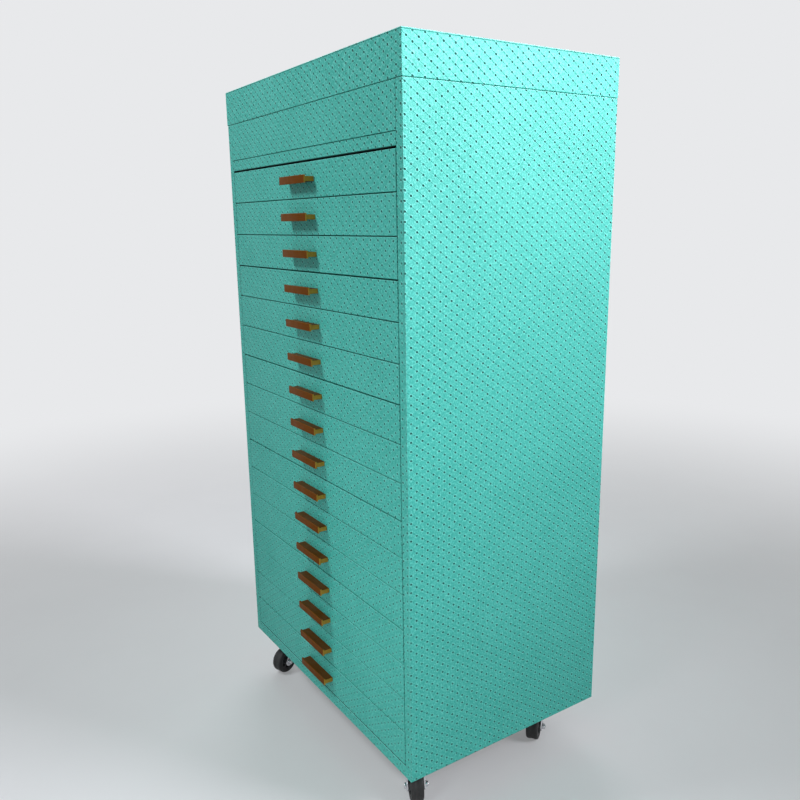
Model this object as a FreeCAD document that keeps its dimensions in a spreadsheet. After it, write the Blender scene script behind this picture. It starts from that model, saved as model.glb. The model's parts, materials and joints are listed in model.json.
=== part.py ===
import FreeCAD, Part
import math
import os
import Sketcher

# A drawer cabinet on four swivel casters: sixteen shallow drawers under a lidded top compartment.
# +Z is up, the drawers open towards -Y, and the floor under the wheels is z = 0.
# The origin is the middle of the whole unit's footprint, on the floor.  Millimetres and degrees.

SIZES = {
    # carcass
    "body_width": 600.0,  # over both side panels
    "body_depth": 406.0,  # front edges to back face
    "side_thickness": 16.0,
    "back_thickness": 12.0,
    "base_thickness": 20.0,
    "floor_thickness": 19.0,  # floor of the top compartment
    "compartment_height": 65.0,  # of the blank panel in front of the top compartment
    "compartment_front_thickness": 16.0,
    "board_edge_radius": 1.2,  # covered board edges
    # lid
    "lid_height": 60.0,
    "lid_wall": 16.0,
    "lid_overhang": 1.0,  # past the front and both sides
    "lid_edge_radius": 1.5,
    # drawers
    "drawer_count": 16,
    "drawer_pitch": 59.0,
    "drawer_gap": 1.2,  # above an ordinary front
    "group_gap": 2.0,  # above the first front of each later group of drawers
    "group_size": 3,
    "top_gap": 3.0,  # above the first front
    "bottom_gap": 2.0,  # under the last front
    "side_gap": 1.5,  # each side of a front
    "front_thickness": 15.0,
    "box_back_gap": 29.0,  # drawer box to the back panel
    "box_height": 42.0,
    "box_lift": 7.0,  # box above the lower edge of its front
    "box_wall": 10.0,
    "box_bottom_thickness": 5.0,
    # felt sheets
    "felt_thickness": 1.5,
    "felt_margin": 1.0,
    # drawer rails
    "rail_space": 10.0,  # between side panel and drawer box
    "rail_end_gap": 8.0,  # rail short of the back of the drawer box
    "rail_setback": 17.0,  # rail behind the front face of the cabinet
    "rail_height": 27.0,
    "rail_depth": 8.6,
    "rail_sheet": 1.2,
    "rail_lip": 3.0,
    "slider_play": 0.3,
    "slider_lip_gap": 0.6,
    "slider_web_gap": 0.8,
    # rail screws
    "rail_screw_radius": 1.75,
    "rail_screw_length": 12.0,
    "rail_screw_head_radius": 3.4,
    "rail_screw_head_height": 1.5,
    "rail_screw_inset": 35.0,  # from either end of a rail
    # handles
    "handle_length": 90.0,
    "handle_projection": 18.0,
    "handle_lip_height": 12.5,
    "handle_lip_thickness": 3.2,
    "handle_neck_height": 8.0,
    "handle_edge_radius": 0.5,
    "handle_screw_spacing": 64.0,
    "handle_screw_radius": 2.0,
    "handle_screw_bite": 8.0,  # depth of the thread in the handle
    "handle_screw_head_radius": 4.0,
    "handle_screw_head_height": 2.2,
    # lid hinges
    "hinge_offset": 190.0,  # each hinge from the middle of the cabinet
    "hinge_length": 60.0,
    "hinge_leaf_height": 24.0,
    "hinge_leaf_thickness": 1.5,
    "knuckle_radius": 3.25,
    "knuckle_stand_off": 0.35,  # knuckles clear of the back faces
    "knuckle_play": 0.3,
    "hinge_pin_radius": 1.5,
    "hinge_screw_radius": 1.6,
    "hinge_screw_length": 10.0,
    "hinge_screw_head_radius": 3.2,
    "hinge_screw_head_height": 1.4,
    "hinge_screw_spacing": 40.0,
    "hinge_screw_drop": 14.0,  # screws from the seam
    # casters
    "caster_height": 75.0,
    "caster_inset_side": 68.0,
    "caster_inset_front": 50.0,
    "caster_inset_back": 74.0,
    "caster_trail": 26.0,  # axle behind the swivel axis
    "turn_front_right": -26.0,  # way each wheel trails, from +X
    "turn_front_left": -72.0,
    "turn_back_right": -53.0,
    "turn_back_left": -40.0,
    "plate_length": 60.0,
    "plate_width": 48.0,
    "plate_thickness": 2.5,
    "plate_corner_radius": 5.0,
    "plate_screw_spacing_x": 46.0,
    "plate_screw_spacing_y": 34.0,
    "plate_screw_radius": 2.5,
    "plate_screw_length": 16.0,
    "plate_screw_head_radius": 4.8,
    "plate_screw_head_height": 3.0,
    "race_radius": 17.0,
    "race_height": 3.0,
    "swivel_gap": 0.4,
    "kingpin_radius": 5.0,
    "kingpin_head_radius": 8.0,
    "kingpin_head_height": 3.0,
    "crown_radius": 18.0,
    "crown_half_length": 14.0,
    "fork_width": 31.0,
    "fork_sheet": 2.5,
    "fork_bend_radius": 2.4,
    "fork_end_radius": 9.0,
    "wheel_radius": 25.0,
    "wheel_width": 22.0,
    "tyre_thickness": 8.0,
    "tyre_shoulder": 4.0,
    "hub_recess": 3.0,
    "hub_boss_radius": 8.0,
    "hub_boss_play": 0.3,  # boss to each fork leg
    "axle_radius": 3.0,
    "axle_head_flats": 10.0,
    "axle_head_height": 4.0,
    "axle_nut_height": 5.0,
    "axle_thread_tip": 1.0,
    # shared fit
    "screw_clearance": 0.05,  # radial, round every screw, pin and axle
}


class Size:
    """A length or angle: its number, and the spreadsheet expression that gives the number."""

    def __init__(self, value, text):
        self.value = float(value)
        self.text = text

    def __add__(self, other):
        other = as_size(other)
        return Size(self.value + other.value, f"({self.text} + {other.text})")

    def __sub__(self, other):
        other = as_size(other)
        return Size(self.value - other.value, f"({self.text} - {other.text})")

    def __mul__(self, other):
        other = as_size(other)
        return Size(self.value * other.value, f"({self.text} * {other.text})")

    def __truediv__(self, other):
        other = as_size(other)
        return Size(self.value / other.value, f"({self.text} / {other.text})")

    def __neg__(self):
        return Size(-self.value, f"(0 - {self.text})")

    def __radd__(self, other):
        return as_size(other) + self

    def __rsub__(self, other):
        return as_size(other) - self

    def __rmul__(self, other):
        return as_size(other) * self


def as_size(number):
    """A plain number as a Size, and a Size as it is."""
    if isinstance(number, Size):
        return number
    return Size(number, repr(float(number)))


class Sizes:
    """Every driving dimension by name, each bound to its cell of the spreadsheet."""

    def __init__(self, document, values):
        sheet = document.addObject("Spreadsheet::Sheet", "dims")
        for row, (name, value) in enumerate(values.items(), start=1):
            sheet.set(f"A{row}", name)
            sheet.set(f"B{row}", str(value))
            sheet.setAlias(f"B{row}", name)
            setattr(self, name, Size(value, f"dims.{name}"))


doc = FreeCAD.newDocument("drawer_cabinet")
d = Sizes(doc, SIZES)
X_AXIS = FreeCAD.Vector(1, 0, 0)
Y_AXIS = FreeCAD.Vector(0, 1, 0)
Z_AXIS = FreeCAD.Vector(0, 0, 1)
NO_TURN = FreeCAD.Rotation()
ALONG_X = FreeCAD.Rotation(Y_AXIS, 90)
ALONG_Y = FreeCAD.Rotation(X_AXIS, -90)
CLOSE = 0.01  # places this near each other count as the same

# levels and faces that several pieces share
count = SIZES["drawer_count"]
half_width = d.body_width / 2
inner_half = half_width - d.side_thickness
hinge_reach = d.knuckle_stand_off + 2 * d.knuckle_radius
front_face = (d.handle_projection - d.body_depth - hinge_reach) / 2
back_face = front_face + d.body_depth
back_inside = back_face - d.back_thickness
underside = d.caster_height
bank_bottom = underside + d.base_thickness + d.bottom_gap
bank_top = bank_bottom + d.drawer_count * d.drawer_pitch
compartment_bottom = bank_top + d.floor_thickness
seam = compartment_bottom + d.compartment_height
unit_top = seam + d.lid_height


# ---------------------------------------------------------------- building blocks
def bind(item, name, size):
    """Tie one property, or one constraint of a sketch, to its expression."""
    item.setExpression(name, as_size(size).text)


def place(item, x, y, z, rotation=NO_TURN):
    """Put an object at a bound position."""
    item.Placement = FreeCAD.Placement(FreeCAD.Vector(0, 0, 0), rotation)
    for axis, size in zip("xyz", (x, y, z)):
        bind(item, f"Placement.Base.{axis}", size)
    return item


def box(name, low, high, kind="Part::Box", owner=doc.addObject):
    """A block between two corners."""
    item = owner(kind, name)
    for prop, start, end in zip(("Length", "Width", "Height"), low, high):
        bind(item, prop, as_size(end) - start)
    return place(item, *low)


def cylinder(name, centre, radius, length, rotation=NO_TURN, kind="Part::Cylinder", owner=doc.addObject):
    """A round bar that starts at a point and runs along its own turned Z."""
    item = owner(kind, name)
    bind(item, "Radius", radius)
    bind(item, "Height", length)
    return place(item, *centre, rotation)


def new_body(name):
    """An empty PartDesign body."""
    item = doc.addObject("PartDesign::Body", name)
    item.Label = name
    return item


def origin_plane(body, role):
    """One of the body's own three origin planes."""
    return next(item for item in body.Origin.OriginFeatures if item.Role == role)


def new_sketch(body, name, role, offset):
    """A sketch on an origin plane of its body, moved along the plane's normal."""
    sketch = body.newObject("Sketcher::SketchObject", name)
    sketch.AttachmentSupport = (origin_plane(body, role), "")
    sketch.MapMode = "FlatFace"
    bind(sketch, "AttachmentOffset.Base.z", offset)
    return sketch


def pin_point(sketch, geometry, end, across, up):
    """Hold one end of a line or arc at a bound place in the sketch."""
    for kind, size in (("DistanceX", across), ("DistanceY", up)):
        size = as_size(size)
        index = sketch.addConstraint(Sketcher.Constraint(kind, -1, 1, geometry, end, size.value))
        bind(sketch, f"Constraints[{index}]", size)


def draw_outline(sketch, points):
    """A closed outline of straight lines through bound points."""
    spots = [FreeCAD.Vector(as_size(a).value, as_size(b).value, 0) for a, b in points]
    lines = [Part.LineSegment(start, end) for start, end in zip(spots, spots[1:] + spots[:1])]
    sketch.addGeometry(lines)
    for index, (across, up) in enumerate(points):
        before = (index - 1) % len(points)
        sketch.addConstraint(Sketcher.Constraint("Coincident", before, 2, index, 1))
        pin_point(sketch, index, 1, across, up)


def pad(body, name, role, points, start, length):
    """A pad of an outline, from one plane towards +X, +Y or +Z."""
    faces_back = role == "XZ_Plane"
    offset = -as_size(start) if faces_back else start
    sketch = new_sketch(body, f"{name}_outline", role, offset)
    draw_outline(sketch, points)
    item = body.newObject("PartDesign::Pad", name)
    item.Profile = sketch
    item.Reversed = faces_back
    bind(item, "Length", length)
    return item


def round_edges(body, base, radius, wanted=None):
    """Round the edges of the body that pass a test, or all of them."""
    doc.recompute()
    edges = base.Shape.Edges
    chosen = [f"Edge{i}" for i, edge in enumerate(edges, start=1) if wanted is None or wanted(edge)]
    item = body.newObject("PartDesign::Fillet", f"{base.Name}_rounding")
    item.Base = (base, chosen)
    bind(item, "Radius", radius)
    return item


def covered_board(name, low, high, radius=d.board_edge_radius):
    """A board whose edges are all softened by its covering."""
    body = new_body(name)
    base = box(f"{name}_board", low, high, "PartDesign::AdditiveBox", body.newObject)
    round_edges(body, base, radius)
    return body


def group(name, members):
    """Separate solids kept together as one object."""
    item = doc.addObject("Part::Compound", name)
    item.Links = members
    return item


def copy_at(name, members, x, y, z):
    """The same pieces again, moved to another place."""
    return place(group(name, members), x, y, z)


def cut(name, base, tool):
    """One shape with another taken out of it."""
    item = doc.addObject("Part::Cut", name)
    item.Base = base
    item.Tool = tool
    return item


def fuse(name, members):
    """Several overlapping shapes as one solid."""
    item = doc.addObject("Part::MultiFuse", name)
    item.Shapes = members
    item.Refine = True
    return item


def mirrored(name, source):
    """The other hand of a shape, across the middle of the cabinet."""
    item = doc.addObject("Part::Mirroring", name)
    item.Source = source
    item.Normal = X_AXIS
    return item


def screw(name, tip, shank_radius, head_radius, length, head_height, rotation):
    """A pan-head screw: its axis runs from the tip to the head along its own turned Z."""
    body = new_body(name)
    sketch = new_sketch(body, f"{name}_outline", "XZ_Plane", 0)
    reach = as_size(length)
    head = reach + head_height
    crown = head_height / 2
    points = (
        (0, 0),
        (shank_radius, 0),
        (shank_radius, reach),
        (head_radius, reach),
        (head_radius, reach + crown),
        (head_radius - crown, head),
        (0, head),
    )
    draw_outline(sketch, points)
    turned = body.newObject("PartDesign::Revolution", f"{name}_turned")
    turned.Profile = sketch
    turned.ReferenceAxis = (sketch, ["V_Axis"])
    turned.Angle = 360
    return place(body, *tip, rotation)


def hexagon_bar(name, centre, flats, length):
    """A hexagonal nut or bolt head whose axis runs towards +Y."""
    item = doc.addObject("Part::Prism", name)
    item.Polygon = 6
    bind(item, "Circumradius", flats / 3**0.5)
    bind(item, "Height", length)
    return place(item, *centre, ALONG_Y)


nodes = []


def keep(item):
    """Note an object as a finished sub-part, named by its label."""
    item.Label = item.Name
    nodes.append(item)
    return item


# ---------------------------------------------------------------- drawer rails
cell_bottom = bank_top - d.drawer_pitch
box_low = cell_bottom + d.box_lift
rail_middle = box_low + d.box_height / 2
rail_front = front_face + d.rail_setback
box_back = back_inside - d.box_back_gap
rail_back = box_back - d.rail_end_gap
rail_length = rail_back - rail_front
rail_half = d.rail_height / 2
rail_screw_places = (
    rail_front + d.rail_screw_inset,
    rail_back - d.rail_screw_inset,
)


def across_rail(points):
    """Outline points given as distance from the side panel and height from the rail's middle."""
    return [(inner_half - reach, rail_middle + height) for reach, height in points]


def make_rail():
    """The C-shaped rail of the first drawer, right-hand side, with its two screw holes."""
    sheet = d.rail_sheet
    depth = d.rail_depth
    lip = rail_half - d.rail_lip
    points = across_rail(
        (
            (0, -rail_half),
            (depth, -rail_half),
            (depth, -lip),
            (depth - sheet, -lip),
            (depth - sheet, sheet - rail_half),
            (sheet, sheet - rail_half),
            (sheet, rail_half - sheet),
            (depth - sheet, rail_half - sheet),
            (depth - sheet, lip),
            (depth, lip),
            (depth, rail_half),
            (0, rail_half),
        )
    )
    body = new_body("rail_right")
    pad(body, "rail_profile", "XZ_Plane", points, rail_front, rail_length)
    for index, place_y in enumerate(rail_screw_places):
        cylinder(
            f"rail_hole_{index}",
            (inner_half - 2 * sheet, place_y, rail_middle),
            d.rail_screw_radius + d.screw_clearance,
            3 * sheet,
            ALONG_X,
            "PartDesign::SubtractiveCylinder",
            body.newObject,
        )
    return body


def make_slider():
    """The hat-shaped slider that runs in the rail, on the right-hand side of the drawer box."""
    sheet = d.rail_sheet
    flange_end = d.rail_depth - sheet - d.slider_lip_gap
    flange_tip = rail_half - sheet - d.slider_play
    web = rail_half - d.rail_lip - d.slider_web_gap
    points = across_rail(
        (
            (d.rail_space, -web),
            (d.rail_space, web),
            (flange_end, web),
            (flange_end, flange_tip),
            (flange_end - sheet, flange_tip),
            (flange_end - sheet, web - sheet),
            (d.rail_space - sheet, web - sheet),
            (d.rail_space - sheet, sheet - web),
            (flange_end - sheet, sheet - web),
            (flange_end - sheet, -flange_tip),
            (flange_end, -flange_tip),
            (flange_end, -web),
        )
    )
    body = new_body("slider_right")
    pad(body, "slider_profile", "XZ_Plane", points, rail_front, rail_length)
    return body


def down_the_bank(name, members):
    """The first drawer's pieces repeated at every drawer."""
    copies = [
        copy_at(f"{name}_{number:02d}", members, 0, 0, -(number - 1) * d.drawer_pitch)
        for number in range(1, count + 1)
    ]
    return group(name, copies)


rail_right = make_rail()
rail_left = mirrored("rail_left", rail_right)
slider_right = make_slider()
slider_left = mirrored("slider_left", slider_right)
keep(down_the_bank("drawer_rails", [rail_left, rail_right]))

screw_seat = inner_half - d.rail_sheet
rail_screws_right = [
    screw(
        f"rail_screw_right_{index}",
        (screw_seat + d.rail_screw_length, place_y, rail_middle),
        d.rail_screw_radius,
        d.rail_screw_head_radius,
        d.rail_screw_length,
        d.rail_screw_head_height,
        FreeCAD.Rotation(Y_AXIS, -90),
    )
    for index, place_y in enumerate(rail_screw_places)
]
rail_screw_pair = group("rail_screw_pair", rail_screws_right)
keep(down_the_bank("rail_screws", [rail_screw_pair, mirrored("rail_screw_pair_left", rail_screw_pair)]))


# ---------------------------------------------------------------- carcass
def make_side_panel():
    """The right-hand side panel with a blind hole for each rail screw."""
    board = covered_board(
        "side_board_right",
        (inner_half, front_face, underside),
        (half_width, back_face, seam),
    )
    holes = [
        cylinder(
            f"side_hole_{index}",
            (inner_half, place_y, rail_middle),
            d.rail_screw_radius + d.screw_clearance,
            d.rail_screw_length - d.rail_sheet + d.screw_clearance,
            ALONG_X,
        )
        for index, place_y in enumerate(rail_screw_places)
    ]
    return cut("side_panel_right", board, down_the_bank("side_holes", holes))


side_panel_right = keep(make_side_panel())
keep(mirrored("side_panel_left", side_panel_right))
keep(
    covered_board(
        "compartment_floor",
        (-inner_half, front_face, bank_top),
        (inner_half, back_inside, compartment_bottom),
    )
)
keep(
    covered_board(
        "compartment_front",
        (-inner_half, front_face, compartment_bottom),
        (inner_half, front_face + d.compartment_front_thickness, seam),
    )
)
keep(
    box(
        "compartment_lining",
        (
            d.felt_margin - inner_half,
            front_face + d.compartment_front_thickness + d.felt_margin,
            compartment_bottom,
        ),
        (inner_half - d.felt_margin, back_inside - d.felt_margin, compartment_bottom + d.felt_thickness),
    )
)


# ---------------------------------------------------------------- lid and hinges
hinge_axis_y = back_face + d.knuckle_stand_off + d.knuckle_radius
knuckle_length = (d.hinge_length - 2 * d.knuckle_play) / 3
bore_radius = d.hinge_pin_radius + d.screw_clearance
leaf_back = back_face + d.hinge_leaf_thickness


def both_hinges(name, members):
    """The pieces of one hinge, set at both hinge places."""
    copies = [
        copy_at(f"{name}_left", members, -d.hinge_offset, 0, 0),
        copy_at(f"{name}_right", members, d.hinge_offset, 0, 0),
    ]
    return group(name, copies)


def along_hinge(knuckle):
    """Where a knuckle, counted 0 to 2, starts along the hinge."""
    return -d.hinge_length / 2 + knuckle * (knuckle_length + d.knuckle_play)


def make_leaf(name, side, own, other):
    """A hinge leaf: side is -1 under the seam and 1 above it, own and other are its knuckles."""
    reach = d.knuckle_radius + d.knuckle_stand_off
    ends = sorted((seam, seam + side * d.hinge_leaf_height), key=lambda level: level.value)
    plate = box(
        f"{name}_plate",
        (-d.hinge_length / 2, back_face, ends[0]),
        (d.hinge_length / 2, leaf_back, ends[1]),
    )
    knuckles = [
        cylinder(
            f"{name}_knuckle_{index}",
            (along_hinge(index), hinge_axis_y, seam),
            d.knuckle_radius,
            knuckle_length,
            ALONG_X,
        )
        for index in own
    ]
    spaces = []
    for index in other:
        first = along_hinge(index) - d.knuckle_play
        last = along_hinge(index) + knuckle_length + d.knuckle_play
        spaces.append(
            box(f"{name}_space_{index}", (first, back_face, seam - reach), (last, hinge_axis_y, seam + reach))
        )
    bore = cylinder(
        f"{name}_bore", (-d.hinge_length / 2, hinge_axis_y, seam), bore_radius, d.hinge_length, ALONG_X
    )
    holes = [
        cylinder(
            f"{name}_screw_hole_{index}",
            (hand * d.hinge_screw_spacing / 2, back_face, seam + side * d.hinge_screw_drop),
            d.hinge_screw_radius + d.screw_clearance,
            d.hinge_leaf_thickness,
            ALONG_Y,
        )
        for index, hand in enumerate((-1, 1))
    ]
    blank = fuse(f"{name}_blank", [plate] + knuckles)
    return cut(name, blank, group(f"{name}_cuts", spaces + [bore] + holes))


def make_leaf_screws(name, side):
    """The two screws of a leaf, driven from behind."""
    return [
        screw(
            f"{name}_{index}",
            (
                hand * d.hinge_screw_spacing / 2,
                leaf_back - d.hinge_screw_length,
                seam + side * d.hinge_screw_drop,
            ),
            d.hinge_screw_radius,
            d.hinge_screw_head_radius,
            d.hinge_screw_length,
            d.hinge_screw_head_height,
            ALONG_Y,
        )
        for index, hand in enumerate((-1, 1))
    ]


def hinge_screw_holes(name, side):
    """Blind holes for the hinge screws in the board that a leaf lies on."""
    depth = d.hinge_screw_length - d.hinge_leaf_thickness + d.screw_clearance
    holes = [
        cylinder(
            f"{name}_{index}",
            (hand * d.hinge_screw_spacing / 2, back_face - depth, seam + side * d.hinge_screw_drop),
            d.hinge_screw_radius + d.screw_clearance,
            depth,
            ALONG_Y,
        )
        for index, hand in enumerate((-1, 1))
    ]
    return both_hinges(name, holes)


def make_lid():
    """The lid: a shallow box open below, over the top compartment."""
    body = new_body("lid_shell")
    edge = half_width + d.lid_overhang
    lid_front = front_face - d.lid_overhang
    outside = box(
        "lid_outside",
        (-edge, lid_front, seam),
        (edge, back_face, unit_top),
        "PartDesign::AdditiveBox",
        body.newObject,
    )
    round_edges(body, outside, d.lid_edge_radius)
    box(
        "lid_hollow",
        (d.lid_wall - edge, lid_front + d.lid_wall, seam),
        (edge - d.lid_wall, back_face - d.lid_wall, unit_top - d.lid_wall),
        "PartDesign::SubtractiveBox",
        body.newObject,
    )
    return cut("lid", body, hinge_screw_holes("lid_holes", 1))


keep(make_lid())
back_board = covered_board(
    "back_board",
    (-inner_half, back_inside, underside),
    (inner_half, back_face, seam),
)
keep(cut("back_panel", back_board, hinge_screw_holes("back_holes", -1)))
cabinet_leaf = make_leaf("cabinet_leaf", -1, (0, 2), (1,))
lid_leaf = make_leaf("lid_leaf", 1, (1,), (0, 2))
keep(both_hinges("hinge_leaves_cabinet", [cabinet_leaf] + make_leaf_screws("cabinet_leaf_screw", -1)))
keep(both_hinges("hinge_leaves_lid", [lid_leaf] + make_leaf_screws("lid_leaf_screw", 1)))
hinge_pin = cylinder(
    "hinge_pin", (-d.hinge_length / 2, hinge_axis_y, seam), d.hinge_pin_radius, d.hinge_length, ALONG_X
)
keep(both_hinges("hinge_pins", [hinge_pin]))


# ---------------------------------------------------------------- drawers
handle_middle = cell_bottom + (d.drawer_pitch - d.drawer_gap) / 2
front_back = front_face + d.front_thickness
handle_screw_places = (-d.handle_screw_spacing / 2, d.handle_screw_spacing / 2)
handle_bore = d.handle_screw_radius + d.screw_clearance
bore_depth = d.handle_screw_bite + d.screw_clearance


def make_front(name, gap_above):
    """A covered front board with two through holes for the handle screws."""
    body = covered_board(
        name,
        (d.side_gap - inner_half, front_face, cell_bottom),
        (inner_half - d.side_gap, front_back, cell_bottom + d.drawer_pitch - gap_above),
    )
    for index, place_x in enumerate(handle_screw_places):
        cylinder(
            f"{name}_hole_{index}",
            (place_x, front_face, handle_middle),
            handle_bore,
            d.front_thickness,
            ALONG_Y,
            "PartDesign::SubtractiveCylinder",
            body.newObject,
        )
    return body


def make_drawer_box():
    """The boards, felt and sliders behind the front of the first drawer."""
    outer = inner_half - d.rail_space
    inner = outer - d.box_wall
    box_high = box_low + d.box_height
    bottom_top = box_low + d.box_bottom_thickness
    margin = d.felt_margin
    return [
        box("box_side_left", (-outer, front_back, box_low), (-inner, box_back, box_high)),
        box("box_side_right", (inner, front_back, box_low), (outer, box_back, box_high)),
        box("box_back", (-inner, box_back - d.box_wall, box_low), (inner, box_back, box_high)),
        box("box_bottom", (-inner, front_back, box_low), (inner, box_back - d.box_wall, bottom_top)),
        box(
            "box_felt",
            (margin - inner, front_back + margin, bottom_top),
            (inner - margin, box_back - d.box_wall - margin, bottom_top + d.felt_thickness),
        ),
        slider_left,
        slider_right,
    ]


def make_handle():
    """A T-section bar on the front of the first drawer, with two blind threaded holes."""
    lip_front = front_face - d.handle_projection
    lip_back = lip_front + d.handle_lip_thickness
    neck = d.handle_neck_height / 2
    lip = d.handle_lip_height / 2
    points = [
        (depth, handle_middle + height)
        for depth, height in (
            (front_face, -neck),
            (front_face, neck),
            (lip_back, neck),
            (lip_back, lip),
            (lip_front, lip),
            (lip_front, -lip),
            (lip_back, -lip),
            (lip_back, -neck),
        )
    ]
    body = new_body("handle_bar")
    bar = pad(body, "handle_profile", "YZ_Plane", points, -d.handle_length / 2, d.handle_length)
    round_edges(body, bar, d.handle_edge_radius)
    for index, place_x in enumerate(handle_screw_places):
        cylinder(
            f"handle_hole_{index}",
            (place_x, front_face - bore_depth, handle_middle),
            handle_bore,
            bore_depth,
            ALONG_Y,
            "PartDesign::SubtractiveCylinder",
            body.newObject,
        )
    return body


def make_handle_screws():
    """Two screws through the front board into the handle, heads inside the drawer."""
    return [
        screw(
            f"handle_screw_{index}",
            (place_x, front_face - d.handle_screw_bite, handle_middle),
            d.handle_screw_radius,
            d.handle_screw_head_radius,
            d.handle_screw_bite + d.front_thickness,
            d.handle_screw_head_height,
            ALONG_Y,
        )
        for index, place_x in enumerate(handle_screw_places)
    ]


first_front = make_front("first_front", d.top_gap)
group_front = make_front("group_front", d.group_gap)
plain_front = make_front("plain_front", d.drawer_gap)
drawer_box = make_drawer_box()
handle_pieces = [make_handle()] + make_handle_screws()
for number in range(1, count + 1):
    steps = number - 1
    if steps == 0:
        front = first_front
    elif steps % SIZES["group_size"] == 0:
        front = group_front
    else:
        front = plain_front
    drop = -steps * d.drawer_pitch
    keep(copy_at(f"drawer_{number:02d}", [front] + drawer_box, 0, 0, drop))
    keep(copy_at(f"drawer_{number:02d}_handle", handle_pieces, 0, 0, drop))


# ---------------------------------------------------------------- casters
plate_bottom = underside - d.plate_thickness
race_bottom = plate_bottom - d.race_height
crown_top = race_bottom - d.swivel_gap
crown_bottom = crown_top - d.fork_sheet
fork_half = d.fork_width / 2
leg_inside = fork_half - d.fork_sheet
axle_level = d.wheel_radius
kingpin_bore = d.kingpin_radius + d.screw_clearance
axle_bore = d.axle_radius + d.screw_clearance
spot_x = half_width - d.caster_inset_side
spot_front = front_face + d.caster_inset_front
spot_back = back_face - d.caster_inset_back
CASTER_SPOTS = {
    "front_right": (spot_x, spot_front, d.turn_front_right),
    "front_left": (-spot_x, spot_front, d.turn_front_left),
    "back_right": (spot_x, spot_back, d.turn_back_right),
    "back_left": (-spot_x, spot_back, d.turn_back_left),
}
plate_screw_spots = [
    (hand * d.plate_screw_spacing_x / 2, side * d.plate_screw_spacing_y / 2)
    for hand in (-1, 1)
    for side in (-1, 1)
]


def at_all_casters(name, members):
    """Pieces of one caster's fixed part, set at all four places."""
    copies = [
        copy_at(f"{name}_{spot}", members, x, y, 0) for spot, (x, y, turn) in CASTER_SPOTS.items()
    ]
    return group(name, copies)


def make_plate():
    """The fixed top plate with the raceway pressed down in its middle."""
    body = new_body("plate")
    half_length = d.plate_length / 2
    half_plate = d.plate_width / 2
    blank = box(
        "plate_blank",
        (-half_length, -half_plate, plate_bottom),
        (half_length, half_plate, underside),
        "PartDesign::AdditiveBox",
        body.newObject,
    )
    round_edges(body, blank, d.plate_corner_radius, is_upright)
    cylinder(
        "plate_race",
        (0, 0, race_bottom),
        d.race_radius,
        d.race_height,
        NO_TURN,
        "PartDesign::AdditiveCylinder",
        body.newObject,
    )
    cylinder(
        "plate_eye",
        (0, 0, race_bottom),
        kingpin_bore,
        d.race_height + d.plate_thickness,
        NO_TURN,
        "PartDesign::SubtractiveCylinder",
        body.newObject,
    )
    for index, (x, y) in enumerate(plate_screw_spots):
        cylinder(
            f"plate_hole_{index}",
            (x, y, plate_bottom),
            d.plate_screw_radius + d.screw_clearance,
            d.plate_thickness,
            NO_TURN,
            "PartDesign::SubtractiveCylinder",
            body.newObject,
        )
    return body


def is_upright(edge):
    """A straight edge that runs along Z."""
    return math.sin(edge.tangentAt(edge.FirstParameter).getAngle(Z_AXIS)) < CLOSE


def make_kingpin():
    """The pin that carries the fork under the plate, its head below the crown."""
    body = new_body("kingpin")
    sketch = new_sketch(body, "kingpin_outline", "XZ_Plane", 0)
    head_top = crown_bottom - d.swivel_gap
    head_bottom = head_top - d.kingpin_head_height
    points = (
        (0, head_bottom),
        (d.kingpin_head_radius - d.kingpin_head_height / 2, head_bottom),
        (d.kingpin_head_radius, head_bottom + d.kingpin_head_height / 2),
        (d.kingpin_head_radius, head_top),
        (d.kingpin_radius, head_top),
        (d.kingpin_radius, underside),
        (0, underside),
    )
    draw_outline(sketch, points)
    turned = body.newObject("PartDesign::Revolution", "kingpin_turned")
    turned.Profile = sketch
    turned.ReferenceAxis = (sketch, ["V_Axis"])
    turned.Angle = 360
    return body


def draw_leg(sketch):
    """A leg seen from the side: a flat top, and two lines that run tangent to the axle end."""
    top = crown_top.value
    half = d.crown_half_length.value
    trail = d.caster_trail.value
    low = axle_level.value
    end = d.fork_end_radius.value
    circle = Part.Circle(FreeCAD.Vector(trail, low, 0), Z_AXIS, end)
    sketch.addGeometry(
        [
            Part.LineSegment(FreeCAD.Vector(-half, top, 0), FreeCAD.Vector(half, top, 0)),
            Part.LineSegment(FreeCAD.Vector(half, top, 0), FreeCAD.Vector(trail + end, low, 0)),
            Part.ArcOfCircle(circle, math.pi, 2 * math.pi),
            Part.LineSegment(FreeCAD.Vector(trail - end, low, 0), FreeCAD.Vector(-half, top, 0)),
        ]
    )
    sketch.addConstraint(Sketcher.Constraint("Coincident", 0, 2, 1, 1))
    sketch.addConstraint(Sketcher.Constraint("Coincident", 3, 2, 0, 1))
    sketch.addConstraint(Sketcher.Constraint("Tangent", 1, 2, 2, 2))
    sketch.addConstraint(Sketcher.Constraint("Tangent", 3, 1, 2, 1))
    pin_point(sketch, 0, 1, -d.crown_half_length, crown_top)
    pin_point(sketch, 0, 2, d.crown_half_length, crown_top)
    pin_point(sketch, 2, 3, d.caster_trail, axle_level)
    radius = sketch.addConstraint(Sketcher.Constraint("Radius", 2, end))
    bind(sketch, f"Constraints[{radius}]", d.fork_end_radius)


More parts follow.
